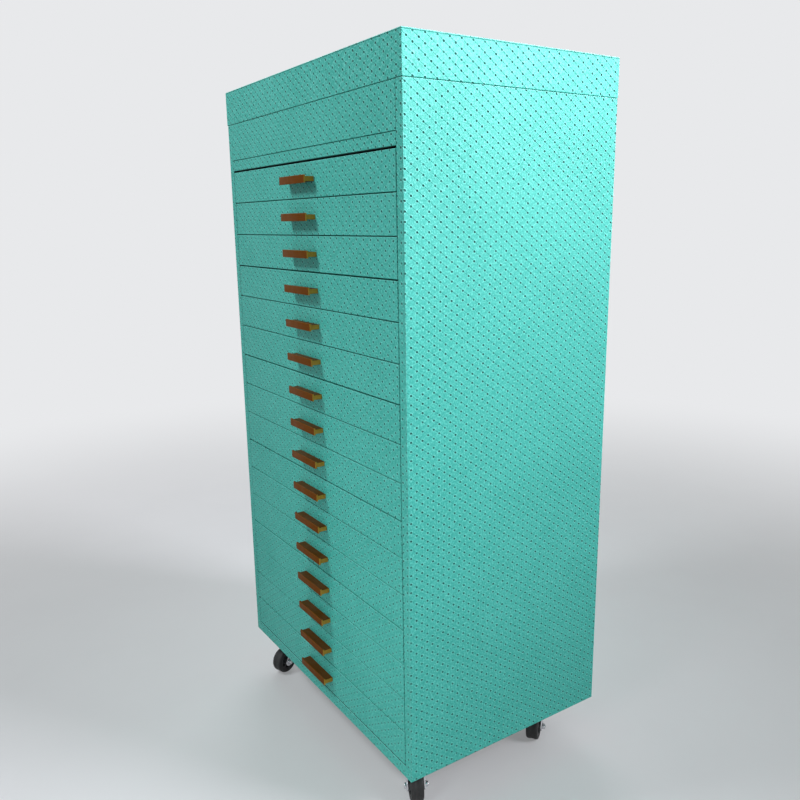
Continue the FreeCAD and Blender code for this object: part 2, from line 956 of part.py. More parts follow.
def make_fork():
    """The fork: one bent sheet with a round crown, trailing towards +X."""
    body = new_body("fork")
    sketch = new_sketch(body, "fork_outline", "XZ_Plane", fork_half)
    draw_leg(sketch)
    blank = body.newObject("PartDesign::Pad", "fork_blank")
    blank.Profile = sketch
    blank.Reversed = True
    bind(blank, "Length", d.fork_width)

    def at_bend(edge):
        middle = edge.CenterOfMass
        at_side = abs(abs(middle.y) - fork_half.value) < CLOSE
        return at_side and abs(middle.z - crown_top.value) < CLOSE

    round_edges(body, blank, d.fork_bend_radius, at_bend)
    reach = d.caster_trail + d.fork_end_radius + d.fork_sheet
    box(
        "fork_space",
        (-reach, -leg_inside, 0),
        (reach, leg_inside, crown_bottom),
        "PartDesign::SubtractiveBox",
        body.newObject,
    )
    cylinder(
        "fork_crown",
        (0, 0, crown_bottom),
        d.crown_radius,
        d.fork_sheet,
        NO_TURN,
        "PartDesign::AdditiveCylinder",
        body.newObject,
    )
    cylinder(
        "fork_eye",
        (0, 0, crown_bottom),
        kingpin_bore,
        d.fork_sheet,
        NO_TURN,
        "PartDesign::SubtractiveCylinder",
        body.newObject,
    )
    cylinder(
        "fork_axle_holes",
        (d.caster_trail, -fork_half, axle_level),
        axle_bore,
        d.fork_width,
        ALONG_Y,
        "PartDesign::SubtractiveCylinder",
        body.newObject,
    )
    return body


def turned_about_y(name, points):
    """A ring turned about the Y axis, then set at the axle."""
    body = new_body(name)
    sketch = new_sketch(body, f"{name}_outline", "XY_Plane", 0)
    draw_outline(sketch, points)
    turned = body.newObject("PartDesign::Revolution", f"{name}_turned")
    turned.Profile = sketch
    turned.ReferenceAxis = (sketch, ["V_Axis"])
    turned.Angle = 360
    return place(body, d.caster_trail, 0, axle_level)


def make_wheel():
    """The wheel in two pieces: a tyre with sloped shoulders on a hub with a long boss."""
    half = d.wheel_width / 2
    rim = d.wheel_radius - d.tyre_thickness
    drop = d.tyre_shoulder / 2
    tyre = turned_about_y(
        "tyre",
        (
            (rim, -half),
            (d.wheel_radius - d.tyre_shoulder, -half),
            (d.wheel_radius - drop / 2, drop - half),
            (d.wheel_radius, d.tyre_shoulder - half),
            (d.wheel_radius, half - d.tyre_shoulder),
            (d.wheel_radius - drop / 2, half - drop),
            (d.wheel_radius - d.tyre_shoulder, half),
            (rim, half),
        ),
    )
    boss = leg_inside - d.hub_boss_play
    web = half - d.hub_recess
    hub = turned_about_y(
        "hub",
        (
            (axle_bore, -boss),
            (d.hub_boss_radius, -boss),
            (d.hub_boss_radius, -web),
            (rim, -web),
            (rim, web),
            (d.hub_boss_radius, web),
            (d.hub_boss_radius, boss),
            (axle_bore, boss),
        ),
    )
    return [tyre, hub]


def make_axle():
    """The axle bolt, its head on one leg, and the nut on the other."""
    shank_length = d.fork_width + d.axle_nut_height + d.axle_thread_tip
    head = hexagon_bar(
        "axle_head",
        (d.caster_trail, -fork_half - d.axle_head_height, axle_level),
        d.axle_head_flats,
        d.axle_head_height,
    )
    shank = cylinder(
        "axle_shank", (d.caster_trail, -fork_half, axle_level), d.axle_radius, shank_length, ALONG_Y
    )
    nut_blank = hexagon_bar(
        "axle_nut_blank", (d.caster_trail, fork_half, axle_level), d.axle_head_flats, d.axle_nut_height
    )
    nut_hole = cylinder(
        "axle_nut_hole", (d.caster_trail, fork_half, axle_level), axle_bore, d.axle_nut_height, ALONG_Y
    )
    return [fuse("axle_bolt", [head, shank]), cut("axle_nut", nut_blank, nut_hole)]


def make_plate_screws():
    """Four screws from below through the plate into the base panel."""
    return [
        screw(
            f"plate_screw_{index}",
            (x, y, plate_bottom + d.plate_screw_length),
            d.plate_screw_radius,
            d.plate_screw_head_radius,
            d.plate_screw_length,
            d.plate_screw_head_height,
            FreeCAD.Rotation(X_AXIS, 180),
        )
        for index, (x, y) in enumerate(plate_screw_spots)
    ]


def make_base():
    """The bottom board with a blind hole for each caster screw."""
    board = covered_board(
        "base_board",
        (-inner_half, front_face, underside),
        (inner_half, back_inside, underside + d.base_thickness),
    )
    depth = d.plate_screw_length - d.plate_thickness + d.screw_clearance
    holes = [
        cylinder(f"base_hole_{index}", (x, y, underside), d.plate_screw_radius + d.screw_clearance, depth)
        for index, (x, y) in enumerate(plate_screw_spots)
    ]
    return cut("base_panel", board, at_all_casters("base_holes", holes))


keep(make_base())
keep(at_all_casters("caster_plates", [make_plate()]))
keep(at_all_casters("caster_kingpins", [make_kingpin()]))
keep(at_all_casters("caster_screws", make_plate_screws()))
fork = make_fork()
wheel_pieces = make_wheel()
axle_pieces = make_axle()
for spot, (x, y, turn) in CASTER_SPOTS.items():
    for part, members in (("fork", [fork]), ("wheel", wheel_pieces), ("axle", axle_pieces)):
        piece = copy_at(f"caster_{spot}_{part}", members, x, y, 0)
        piece.Placement.Rotation = FreeCAD.Rotation(Z_AXIS, turn.value)
        bind(piece, "Placement.Rotation.Angle", turn)
        keep(piece)


# ---------------------------------------------------------------- check and write
doc.recompute()
for item in doc.Objects:
    if "Invalid" in item.State or "Error" in item.State:
        raise RuntimeError(f"{item.Name} did not rebuild: {item.State}")
os.makedirs("parts", exist_ok=True)
for node in nodes:
    shape = node.Shape
    if shape.isNull() or not shape.isValid() or not shape.Solids:
        raise RuntimeError(f"{node.Label} has no sound shape")
    shape.exportStep(f"parts/{node.Label}.step")
    print(f"{node.Label}: {len(shape.Solids)} solids, {shape.Volume / 1000:.1f} cm3")
print(f"{len(nodes)} sub-parts")
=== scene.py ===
"""Looks for a leatherette drawer cabinet on four swivel casters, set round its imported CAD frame.

Lengths are in metres.  +Z is up, the drawers open towards -Y, and the floor is z = 0.
"""

import json
import logging
import math
from collections.abc import Callable, Iterator
from contextlib import contextmanager
from dataclasses import dataclass, field
from enum import Enum

import bmesh
import bpy
from mathutils import Matrix, Vector

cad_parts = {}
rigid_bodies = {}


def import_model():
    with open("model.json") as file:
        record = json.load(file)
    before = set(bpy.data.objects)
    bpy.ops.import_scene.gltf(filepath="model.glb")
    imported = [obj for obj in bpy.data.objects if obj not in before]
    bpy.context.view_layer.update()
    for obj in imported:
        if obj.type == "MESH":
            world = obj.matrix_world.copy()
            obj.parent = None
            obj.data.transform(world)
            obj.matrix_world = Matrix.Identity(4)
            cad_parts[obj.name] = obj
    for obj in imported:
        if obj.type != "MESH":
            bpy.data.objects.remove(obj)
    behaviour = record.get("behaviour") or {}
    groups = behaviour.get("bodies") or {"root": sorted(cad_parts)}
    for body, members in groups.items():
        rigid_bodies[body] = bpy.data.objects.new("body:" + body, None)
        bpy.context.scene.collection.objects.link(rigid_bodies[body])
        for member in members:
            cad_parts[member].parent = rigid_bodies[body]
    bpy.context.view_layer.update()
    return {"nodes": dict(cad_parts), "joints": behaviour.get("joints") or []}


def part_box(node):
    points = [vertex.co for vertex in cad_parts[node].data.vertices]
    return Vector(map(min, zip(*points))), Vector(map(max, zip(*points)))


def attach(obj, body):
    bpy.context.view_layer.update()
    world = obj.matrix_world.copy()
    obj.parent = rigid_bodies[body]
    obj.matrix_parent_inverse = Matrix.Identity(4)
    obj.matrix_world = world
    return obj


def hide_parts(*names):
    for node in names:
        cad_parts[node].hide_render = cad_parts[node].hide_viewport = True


LOG = logging.getLogger("cabinet")
MM = 0.001
TOUCH = 0.01 * MM  # faces nearer than this to a plane lie on it
MELD = 0.002 * MM  # corners nearer than this to one another become one
FACING = 0.9  # a face looks along a direction when more of its normal than this does
SMOOTH_BELOW = 35.0  # shading runs on across edges blunter than this, in degrees
UP = (0, 0, 1)
DOWN = (0, 0, -1)
BACK = (0, 1, 0)
FRONT = (0, -1, 0)
DRAWERS = tuple(f"drawer_{number:02d}" for number in range(1, 17))
SPOTS = ("front_right", "front_left", "back_right", "back_left")
WINDOW_LIGHT = (0.97, 0.94, 1.0)
CLEAR_SKY = (0.93, 0.97, 1.0)

Triple = tuple[float, float, float]
Screen = tuple[int, int, int]  # red, green and blue as a screen shows them, from 0 to 255
Socket = bpy.types.NodeSocket
Tree = bpy.types.NodeTree
Material = bpy.types.Material
Piece = bpy.types.Object
Where = Callable[[Vector], bool]  # whether a face is wanted, from its middle
Rule = Callable[[Vector, Vector], bool]  # whether a face is wanted, from its middle and normal


def linear(colour: Screen) -> tuple[float, ...]:
    """A colour as a screen shows it, made linear.

    Args:
        colour: Red, green and blue from 0 to 255.

    Returns:
        Linear red, green and blue, and an alpha of 1.
    """
    shares = [level / 255 for level in colour]
    bent = [share / 12.92 if share <= 0.04045 else ((share + 0.055) / 1.055) ** 2.4 for share in shares]
    return (*bent, 1.0)


class Slot(Enum):
    """The record's material slots."""

    LEATHERETTE = "leatherette"
    FELT = "felt"
    COPPER = "copper"
    ZINC = "zinc_steel"
    CASTER = "caster_steel"
    RUBBER = "wheel_rubber"


# ---------------------------------------------------------------- node trees
class Graph:
    """A node tree being filled: adds nodes, feeds their sockets and hands back outputs."""

    def __init__(self, tree: Tree) -> None:
        """Keeps the tree to fill."""
        self.tree = tree

    def add(self, kind: str, *values: object, **settings: object) -> bpy.types.Node:
        """Adds a node.

        Args:
            kind: The node's type name.
            values: What goes into its first inputs, in their order.
            settings: Properties to set on it.

        Returns:
            The new node.
        """
        node = self.tree.nodes.new(kind)
        for name, value in settings.items():
            setattr(node, name, value)
        for socket, value in zip(node.inputs, values):
            self.feed(socket, value)
        return node

    def feed(self, socket: Socket, value: object) -> None:
        """Links an output to a socket, or sets the socket's own value.

        Args:
            socket: The input to fill.
            value: An output socket or a plain value.
        """
        if isinstance(value, Socket):
            self.tree.links.new(value, socket)
        else:
            socket.default_value = value

    def fill(self, node: bpy.types.Node, **values: object) -> bpy.types.Node:
        """Feeds a node's inputs by their names.

        Args:
            node: The node.
            values: What goes into each input, named in lower case with underscores for spaces.

        Returns:
            The same node.
        """
        for name, value in values.items():
            label = name.replace("_", " ").title().replace("Ior", "IOR")
            self.feed(node.inputs[label], value)
        return node

    def math(self, operation: str, *values: object, clamp: bool = False) -> Socket:
        """The result of a Math node, kept from 0 to 1 where it is clamped."""
        return self.add("ShaderNodeMath", *values, operation=operation, use_clamp=clamp).outputs[0]

    def times(self, first: object, second: object) -> Socket:
        """The product of two values."""
        return self.math("MULTIPLY", first, second)

    def plus(self, first: object, second: object) -> Socket:
        """The sum of two values."""
        return self.math("ADD", first, second)

    def minus(self, first: object, second: object) -> Socket:
        """The first value less the second."""
        return self.math("SUBTRACT", first, second)

    def over(self, first: object, second: object) -> Socket:
        """The first value divided by the second."""
        return self.math("DIVIDE", first, second)

    def size(self, value: object) -> Socket:
        """A value without its sign."""
        return self.math("ABSOLUTE", value)

    def largest(self, first: object, *others: object) -> Socket:
        """The greatest of some values.

        Args:
            first: One of them.
            others: The rest.

        Returns:
            The output socket.
        """
        for other in others:
            first = self.math("MAXIMUM", first, other)
        return first

    def vector(self, operation: str, *values: object) -> Socket:
        """The result of a Vector Math node: a number for a dot product or a length, else a vector."""
        node = self.add("ShaderNodeVectorMath", *values, operation=operation)
        return node.outputs["Value" if operation in ("DOT_PRODUCT", "LENGTH") else "Vector"]

    def parts(self, vector: object) -> tuple[Socket, ...]:
        """The X, Y and Z of a vector."""
        return tuple(self.add("ShaderNodeSeparateXYZ", vector).outputs)

    def joined(self, *values: object) -> Socket:
        """A vector made from its X, Y and Z."""
        return self.add("ShaderNodeCombineXYZ", *values).outputs[0]

    def fade(self, value: object, low: float, high: float, start: float = 0.0, end: float = 1.0) -> Socket:
        """A smooth step from start, where the value is low, to end, where it is high."""
        node = self.add("ShaderNodeMapRange", value, low, high, start, end, interpolation_type="SMOOTHSTEP")
        return node.outputs["Result"]

    def layered(self, base: Screen, *layers: tuple[object, Screen]) -> Socket:
        """Colours laid over one another.

        Args:
            base: The colour underneath.
            layers: How much of each shows, from 0 to 1, and its colour.

        Returns:
            The output socket.
        """
        result: object = linear(base)
        for share, colour in layers:
            node = self.add("ShaderNodeMix", share, data_type="RGBA")
            under, over = (socket for socket in node.inputs if socket.type == "RGBA")
            self.feed(under, result)
            self.feed(over, linear(colour))
            result = next(socket for socket in node.outputs if socket.type == "RGBA")
        return result

    def noise(self, point: object, scale: float, detail: float = 2.0, roughness: float = 0.5) -> Socket:
        """Soft noise from 0 to 1.

        Args:
            point: Where it is read.
            scale: Bumps per metre.
            detail: Octaves.
            roughness: How strong the finer octaves are.

        Returns:
            The output socket.
        """
        node = self.add("ShaderNodeTexNoise")
        self.fill(node, vector=point, scale=scale, detail=detail, roughness=roughness)
        return node.outputs["Fac"]

    def use(self, group: Tree, **values: object) -> bpy.types.NodeOutputs:
        """The outputs of a node group placed here with these inputs."""
        return self.fill(self.add("ShaderNodeGroup", node_tree=group), **values).outputs

    def bump(self, height: object, distance: float) -> Socket:
        """A normal tilted by a height map, in which 1 stands for the distance."""
        node = self.add("ShaderNodeBump")
        return self.fill(node, strength=1.0, distance=distance, height=height).outputs["Normal"]


class Effect(Graph):
    """A node group being filled."""

    def __init__(self, name: str, vectors: str, values: str, results: str) -> None:
        """Makes the group with nothing inside.

        Args:
            name: Its name.
            vectors: Labels of its vector inputs.
            values: Labels of its number inputs.
            results: Labels of its outputs, all numbers.
        """
        super().__init__(bpy.data.node_groups.new(name, "ShaderNodeTree"))
        for direction, kind, labels in (
            ("INPUT", "Vector", vectors),
            ("INPUT", "Float", values),
            ("OUTPUT", "Float", results),
        ):
            for label in labels.split():
                self.tree.interface.new_socket(label, in_out=direction, socket_type=f"NodeSocket{kind}")
        entry = self.add("NodeGroupInput")
        self.entry = [entry.outputs[label] for label in f"{vectors} {values}".split()]
        self.leave = self.add("NodeGroupOutput")

    def give(self, **results: object) -> Tree:
        """The group, once its outputs are fed."""
        self.fill(self.leave, **results)
        return self.tree


def make_edge_group() -> Tree:
    """Mask of the rounded edges of a board whose faces are square to the axes.

    Returns:
        A group that turns a normal into Edge, 1 in the middle of a rounding and 0 on a flat face.
    """
    group = Effect("Rounded Edge", "Normal", "", "Edge")
    sizes = group.parts(group.vector("ABSOLUTE", *group.entry))
    return group.give(edge=group.fade(group.largest(*sizes), 0.995, 0.80))


def make_panel_group() -> Tree:
    """Flat coordinates on each face of a board.

    Returns:
        A group that gives Across, to the right as seen from outside, and Rise, upwards.
    """
    group = Effect("Panel Coordinates", "Point Normal", "", "Across Rise")
    point, normal = group.entry
    sizes = group.parts(group.vector("ABSOLUTE", normal))
    signs = group.parts(group.vector("SIGN", normal))
    nearly = group.minus(group.largest(*sizes), 0.001)
    chosen = [group.math("GREATER_THAN", size, nearly) for size in sizes]
    facing = [group.times(choice, sign) for choice, sign in zip(chosen, signs)]
    level = group.size(facing[2])
    right = group.vector("CROSS_PRODUCT", UP, group.joined(*facing))
    right = group.vector("ADD", right, group.joined(level, 0.0, 0.0))
    rise = group.joined(0.0, level, group.minus(1.0, level))
    return group.give(
        across=group.vector("DOT_PRODUCT", point, right),
        rise=group.vector("DOT_PRODUCT", point, rise),
    )


def make_lattice_group() -> Tree:
    """The embossed diamonds: two families of slanting creases with a pin mark at each crossing.

    Returns:
        A group that gives masks of the Falling creases, the Rising ones, each Pin and its Rim.
    """
    crease_half = 0.068  # as a share of the way from one crease to the next
    pin_across = 3.5 * MM
    pin_up = 3.1 * MM
    group = Effect("Diamond Lattice", "", "Across Rise Column Row Lean", "Falling Rising Pin Rim")
    across, rise, width, height, lean = group.entry
    column = group.over(group.minus(across, group.times(rise, lean)), width)
    row = group.over(group.plus(rise, group.times(across, lean)), height)
    lines = (group.plus(column, row), group.minus(column, row))
    offsets = [group.minus(line, group.math("ROUND", line)) for line in lines]
    falling, rising = (group.fade(group.size(offset), 0.0, crease_half, 1.0, 0.0) for offset in offsets)
    aside = group.over(group.times(group.plus(*offsets), width), pin_across)
    above = group.over(group.times(group.minus(*offsets), height), pin_up)
    away = group.math("SQRT", group.plus(group.math("POWER", aside, 2.0), group.math("POWER", above, 2.0)))
    return group.give(
        falling=falling,
        rising=rising,
        pin=group.fade(away, 0.75, 1.25, 1.0, 0.0),
        rim=group.times(group.fade(away, 0.8, 1.4), group.fade(away, 1.5, 2.3, 1.0, 0.0)),
    )


def make_grain_group() -> Tree:
    """Fine pebbled leather grain.

    Returns:
        A group that gives Height, the pebbles, Wrinkle, the winding lines between them, Speckle,
        which pebbles are paler or darker, and Tone.
    """
    group = Effect("Leather Grain", "Point", "Scale", "Height Wrinkle Speckle Tone")
    point, scale = group.entry
    pebbles = group.add("ShaderNodeTexVoronoi", feature="SMOOTH_F1")
    group.fill(pebbles, vector=point, scale=scale)
    fine = group.noise(point, 1800.0)
    broad = group.noise(point, 9.0, 3.0, 0.6)
    mottle = group.noise(point, 150.0)
    winding = group.size(group.minus(group.noise(point, 190.0, 2.0, 0.6), 0.5))
    return group.give(
        height=group.plus(group.minus(1.0, pebbles.outputs["Distance"]), group.times(fine, 0.35)),
        wrinkle=group.fade(winding, 0.0, 0.12, 1.0, 0.0),
        speckle=group.noise(point, 380.0, 2.0, 0.6),
        tone=group.plus(group.times(broad, 0.6), group.times(mottle, 0.4)),
    )


def make_dust_group() -> Tree:
    """Dust that settles on what faces up.

    Returns:
        A group that gives Dust, a patchy mask on upward faces.
    """
    group = Effect("Settled Dust", "Point Normal", "", "Dust")
    point, normal = group.entry
    upward = group.fade(group.parts(normal)[2], 0.35, 0.95)
    patches = group.fade(group.noise(point, 35.0, 4.0, 0.65), 0.35, 0.75)
    return group.give(dust=group.times(upward, patches))


def make_brush_group() -> Tree:
    """Brush lines along one direction, and smudges.

    Returns:
        A group that gives Line, the fine streaks, and Smudge, the broad uneven sheen.
    """
    group = Effect("Brushed Metal", "Point Stretch", "", "Line Smudge")
    point, stretch = group.entry
    along = group.vector("MULTIPLY", point, stretch)
    return group.give(line=group.noise(along, 900.0, 3.0, 0.6), smudge=group.noise(point, 60.0, 3.0, 0.6))


def make_fibre_group() -> Tree:
    """Matted short fibres.

    Returns:
        A group that gives Height, the nap, and Tone, its lighter and darker tufts.
    """
    group = Effect("Matted Fibre", "Point", "", "Height Tone")
    (point,) = group.entry
    swirls = [group.vector("MULTIPLY", point, squeeze) for squeeze in ((1.0, 3.0, 1.0), (3.0, 1.0, 1.0))]
    strands = group.plus(*(group.noise(swirl, 900.0, 3.0, 0.7) for swirl in swirls))
    return group.give(height=group.times(strands, 0.5), tone=group.noise(point, 120.0, 4.0, 0.7))


@dataclass
class Effects:
    """The node groups that the finishes share."""

    edge: Tree = field(default_factory=make_edge_group)
    panel: Tree = field(default_factory=make_panel_group)
    lattice: Tree = field(default_factory=make_lattice_group)
    grain: Tree = field(default_factory=make_grain_group)
    dust: Tree = field(default_factory=make_dust_group)
    brush: Tree = field(default_factory=make_brush_group)
    fibre: Tree = field(default_factory=make_fibre_group)


# ---------------------------------------------------------------- finishes
class Draft(Graph):
    """A material being made: its shader, and where the surface is in the object's own coordinates."""

    def __init__(self, name: str) -> None:
        """Starts the material with one Principled shader.

        Args:
            name: The material's name.
        """
        self.material = bpy.data.materials.new(name)
        self.material.use_nodes = True
        super().__init__(self.material.node_tree)
        self.tree.nodes.clear()
        self.shader = self.add("ShaderNodeBsdfPrincipled")
        self.output = self.add("ShaderNodeOutputMaterial", self.shader.outputs["BSDF"])
        place = self.add("ShaderNodeTexCoord")
        self.point = place.outputs["Object"]
        self.normal = place.outputs["Normal"]

    def finish(self, **values: object) -> Material:
        """The material, once its shader's inputs are filled."""
        self.fill(self.shader, **values)
        return self.material


@dataclass(frozen=True)
class Leatherette:
    """Embossed leatherette glued round a board: pinned diamonds over fine grain, with painted shade in the
    falling creases, pins, seams and downward edges and painted highlights on the rising creases, pin rims
    and upward edges.
    """

    name: str
    shift_across: float = 0.0
    shift_rise: float = 0.0
    sheet_height: float = 0.0  # of pieces one above another, each from its own place on the roll
    base: Screen = (80, 192, 179)
    shade: Screen = (26, 144, 128)
    # painted shade, laid in the falling creases, on the rounded edges that face down and along the seams
    crease: Screen = (0, 108, 96)
    # painted highlight on the rising creases and pin rims, and also the colour of the grain's paler random
    # flecks
    painted_highlight_and_pale_fleck: Screen = (140, 236, 224)
    # painted shade in the pinholes
    pin: Screen = (0, 54, 49)
    # painted highlight on the rounded edges, strongest where they face up
    edge: Screen = (160, 240, 230)
    crease_shade_share: float = 0.68  # how far each mark covers the base colour
    rising_highlight_share: float = 0.26
    rim_highlight_share: float = 0.35
    pin_shade_share: float = 0.93
    edge_highlight_share: float = 0.9
    seam_share: float = 0.8
    seam_height: float = 0.0  # of a darkened level line, if any: painted shade in the groove where two covered pieces meet, and on the lid a dark line just under its top
    seam_half: float = 0.7 * MM
    column: float = 20.0 * MM
    row: float = 13.7 * MM
    lean: float = 0.014
    pebbles: float = 700.0  # per metre
    relief: float = 0.45 * MM
    gloss: float = 0.16

    def build(self, effects: Effects) -> Material:
        """Makes the material.

        Args:
            effects: The shared node groups.

        Returns:
            The material.
        """
        draft = Draft(self.name)
        across, rise = self.on_the_roll(draft, effects)
        lattice = draft.use(
            effects.lattice, across=across, rise=rise, column=self.column, row=self.row, lean=self.lean
        )
        grain = draft.use(effects.grain, point=draft.point, scale=self.pebbles)
        wrinkle, speckle, tone = (grain[label] for label in ("Wrinkle", "Speckle", "Tone"))
        patch = draft.fade(draft.noise(draft.point, 70.0), 0.3, 0.6, 0.65, 1.0)
        broken = draft.times(patch, draft.fade(draft.noise(draft.point, 260.0), 0.36, 0.52, 0.55, 1.0))
        # the painted crease shade and highlight fade towards the floor, where less light falls
        towards_floor = draft.fade(draft.parts(draft.point)[2], 0.2, 0.8, 0.45, 1.0)
        broken = draft.times(broken, towards_floor)
        falling = draft.times(lattice["Falling"], broken)
        rising = draft.times(lattice["Rising"], broken)
        pin = draft.times(lattice["Pin"], patch)
        rim = draft.times(lattice["Rim"], patch)
        seam = self.seam(draft)
        edge = draft.use(effects.edge, normal=draft.normal)["Edge"]
        tilt = draft.parts(draft.normal)[2]
        colour = draft.layered(
            self.base,
            (draft.fade(tone, 0.62, 0.30, 0.0, 0.2), self.shade),
            (draft.times(wrinkle, 0.4), self.shade),
            (draft.fade(speckle, 0.48, 0.34, 0.0, 0.34), self.shade),
            (draft.fade(speckle, 0.52, 0.68, 0.0, 0.4), self.painted_highlight_and_pale_fleck),
            # painted shade in the falling creases
            (draft.times(falling, self.crease_shade_share), self.crease),
            # painted highlight on the rising creases and on the rims round the pins
            (draft.times(rising, self.rising_highlight_share), self.painted_highlight_and_pale_fleck),
            (draft.times(rim, self.rim_highlight_share), self.painted_highlight_and_pale_fleck),
            # painted shade in the pinholes
            (draft.times(pin, self.pin_shade_share), self.pin),
            # painted highlight on the rounded edges that face up, then painted shade on those that face down
            (draft.times(edge, draft.fade(tilt, -0.4, 0.7, 0.0, self.edge_highlight_share)), self.edge),
            (draft.times(edge, draft.fade(tilt, -0.1, -0.5, 0.0, 0.9)), self.crease),
            # the darkened seam line: painted shade in the frontage's groove, a dark line under the lid's top
            (draft.times(seam, self.seam_share), self.crease),
        )
        creases = draft.largest(falling, draft.times(rising, 0.4))
        low = draft.plus(draft.times(creases, 0.8), draft.times(pin, 0.9))
        low = draft.plus(draft.plus(low, draft.times(wrinkle, 0.16)), seam)
        high = draft.plus(draft.times(grain["Height"], 0.14), draft.times(rim, 0.25))
        rough = draft.fade(tone, 0.3, 0.7, 0.52, 0.45)
        return draft.finish(
            base_color=colour,
            roughness=draft.plus(rough, draft.times(draft.largest(creases, pin), 0.2)),
            normal=draft.bump(draft.minus(high, low), self.relief),
            specular_ior_level=self.gloss,
        )

    def seam(self, draft: Draft) -> Socket | float:
        """Mask of a darkened level line: painted shade in the groove where two covered pieces meet, and on
        the lid a dark line just under its top.

        Args:
            draft: The material being made.

        Returns:
            The mask, or 0 where there is none.
        """
        if not self.seam_height:
            return 0.0
        away = draft.size(draft.minus(draft.parts(draft.point)[2], self.seam_height))
        return draft.fade(away, 0.35 * self.seam_half, self.seam_half, 1.0, 0.0)

    def on_the_roll(self, draft: Draft, effects: Effects) -> tuple[Socket, Socket]:
        """Where the surface lies on the roll that it was cut from.

        Args:
            draft: The material being made.
            effects: The shared node groups.

        Returns:
            The place across the roll and along it.
        """
        panel = draft.use(effects.panel, point=draft.point, normal=draft.normal)
        shifts: tuple[object, object] = (self.shift_across, self.shift_rise)
        if self.sheet_height:
            height = draft.plus(draft.parts(draft.point)[2], self.shift_rise)
            dice = draft.add("ShaderNodeTexWhiteNoise", noise_dimensions="1D")
            draft.fill(dice, w=draft.math("FLOOR", draft.over(height, self.sheet_height)))
            throws = draft.parts(dice.outputs["Color"])
            shifts = (draft.times(throws[0], self.column), draft.times(throws[1], self.row))
        return draft.plus(panel["Across"], shifts[0]), draft.plus(panel["Rise"], shifts[1])


@dataclass(frozen=True)
class Felt:
    """Short flock felt."""

    name: str = "grey_felt"
    base: Screen = (150, 147, 142)
    light: Screen = (178, 175, 170)
    dark: Screen = (118, 115, 111)
    nap: float = 0.5 * MM

    def build(self, effects: Effects) -> Material:
        """Makes the material.

        Args:
            effects: The shared node groups.

        Returns:
            The material.
        """
        draft = Draft(self.name)
        fibre = draft.use(effects.fibre, point=draft.point)
        return draft.finish(
            base_color=draft.layered(
                self.dark,
                (draft.fade(fibre["Tone"], 0.35, 0.7), self.base),
                (draft.fade(fibre["Height"], 0.5, 0.75, 0.0, 0.7), self.light),
            ),
            roughness=0.95,
            normal=draft.bump(fibre["Height"], self.nap),
            sheen_weight=0.35,
            sheen_roughness=0.4,
            specular_ior_level=0.2,
        )


@dataclass(frozen=True)
class SatinMetal:
    """Brushed or plated metal; where its faces are square to the axes their edges are worn."""

    name: str
    base: Screen
    tint: Screen
    worn: Screen
    stretch: Triple = (0.03, 1.0, 1.0)
    metallic: float = 1.0
    rough: float = 0.35
    specular: float = 0.5
    square: bool = True
    line_depth: float = 0.02 * MM
    dusty: float = 0.15
    dust: Screen = (176, 172, 164)

    def build(self, effects: Effects) -> Material:
        """Makes the material.

        Args:
            effects: The shared node groups.

        Returns:
            The material.
        """
        draft = Draft(self.name)
        brush = draft.use(effects.brush, point=draft.point, stretch=self.stretch)
        edge = draft.use(effects.edge, normal=draft.normal)["Edge"] if self.square else 0.0
        settled = draft.use(effects.dust, point=draft.point, normal=draft.normal)["Dust"]
        dust = draft.times(settled, self.dusty)
        line = brush["Line"]
        rough = draft.fade(brush["Smudge"], 0.3, 0.7, self.rough - 0.06, self.rough + 0.08)
        return draft.finish(
            base_color=draft.layered(
                self.base,
                (draft.fade(line, 0.3, 0.7, 0.0, 0.5), self.tint),
                (draft.times(edge, 0.5), self.worn),
                (dust, self.dust),
            ),
            metallic=draft.minus(self.metallic, dust),
            roughness=draft.plus(draft.plus(rough, draft.times(line, 0.06)), dust),
            specular_ior_level=self.specular,
            normal=draft.bump(line, self.line_depth),
        )


@dataclass(frozen=True)
class Moulded:
    """Moulded rubber or nylon with a fine matt skin, dusty where it has rolled or lies open."""

    name: str
    base: Screen
    bloom: Screen
    rough: float
    skin: float = 0.06 * MM

    def build(self, effects: Effects) -> Material:
        """Makes the material.

        Args:
            effects: The shared node groups, none of which it needs.

        Returns:
            The material.
        """
        draft = Draft(self.name)
        fine = draft.noise(draft.point, 1500.0, 3.0, 0.6)
        scuffs = draft.fade(draft.noise(draft.point, 220.0, 4.0, 0.7), 0.45, 0.75)
        return draft.finish(
            base_color=draft.layered(self.base, (draft.times(scuffs, 0.45), self.bloom)),
            roughness=draft.fade(scuffs, 0.0, 1.0, self.rough, min(self.rough + 0.2, 0.95)),
            normal=draft.bump(fine, self.skin),
        )


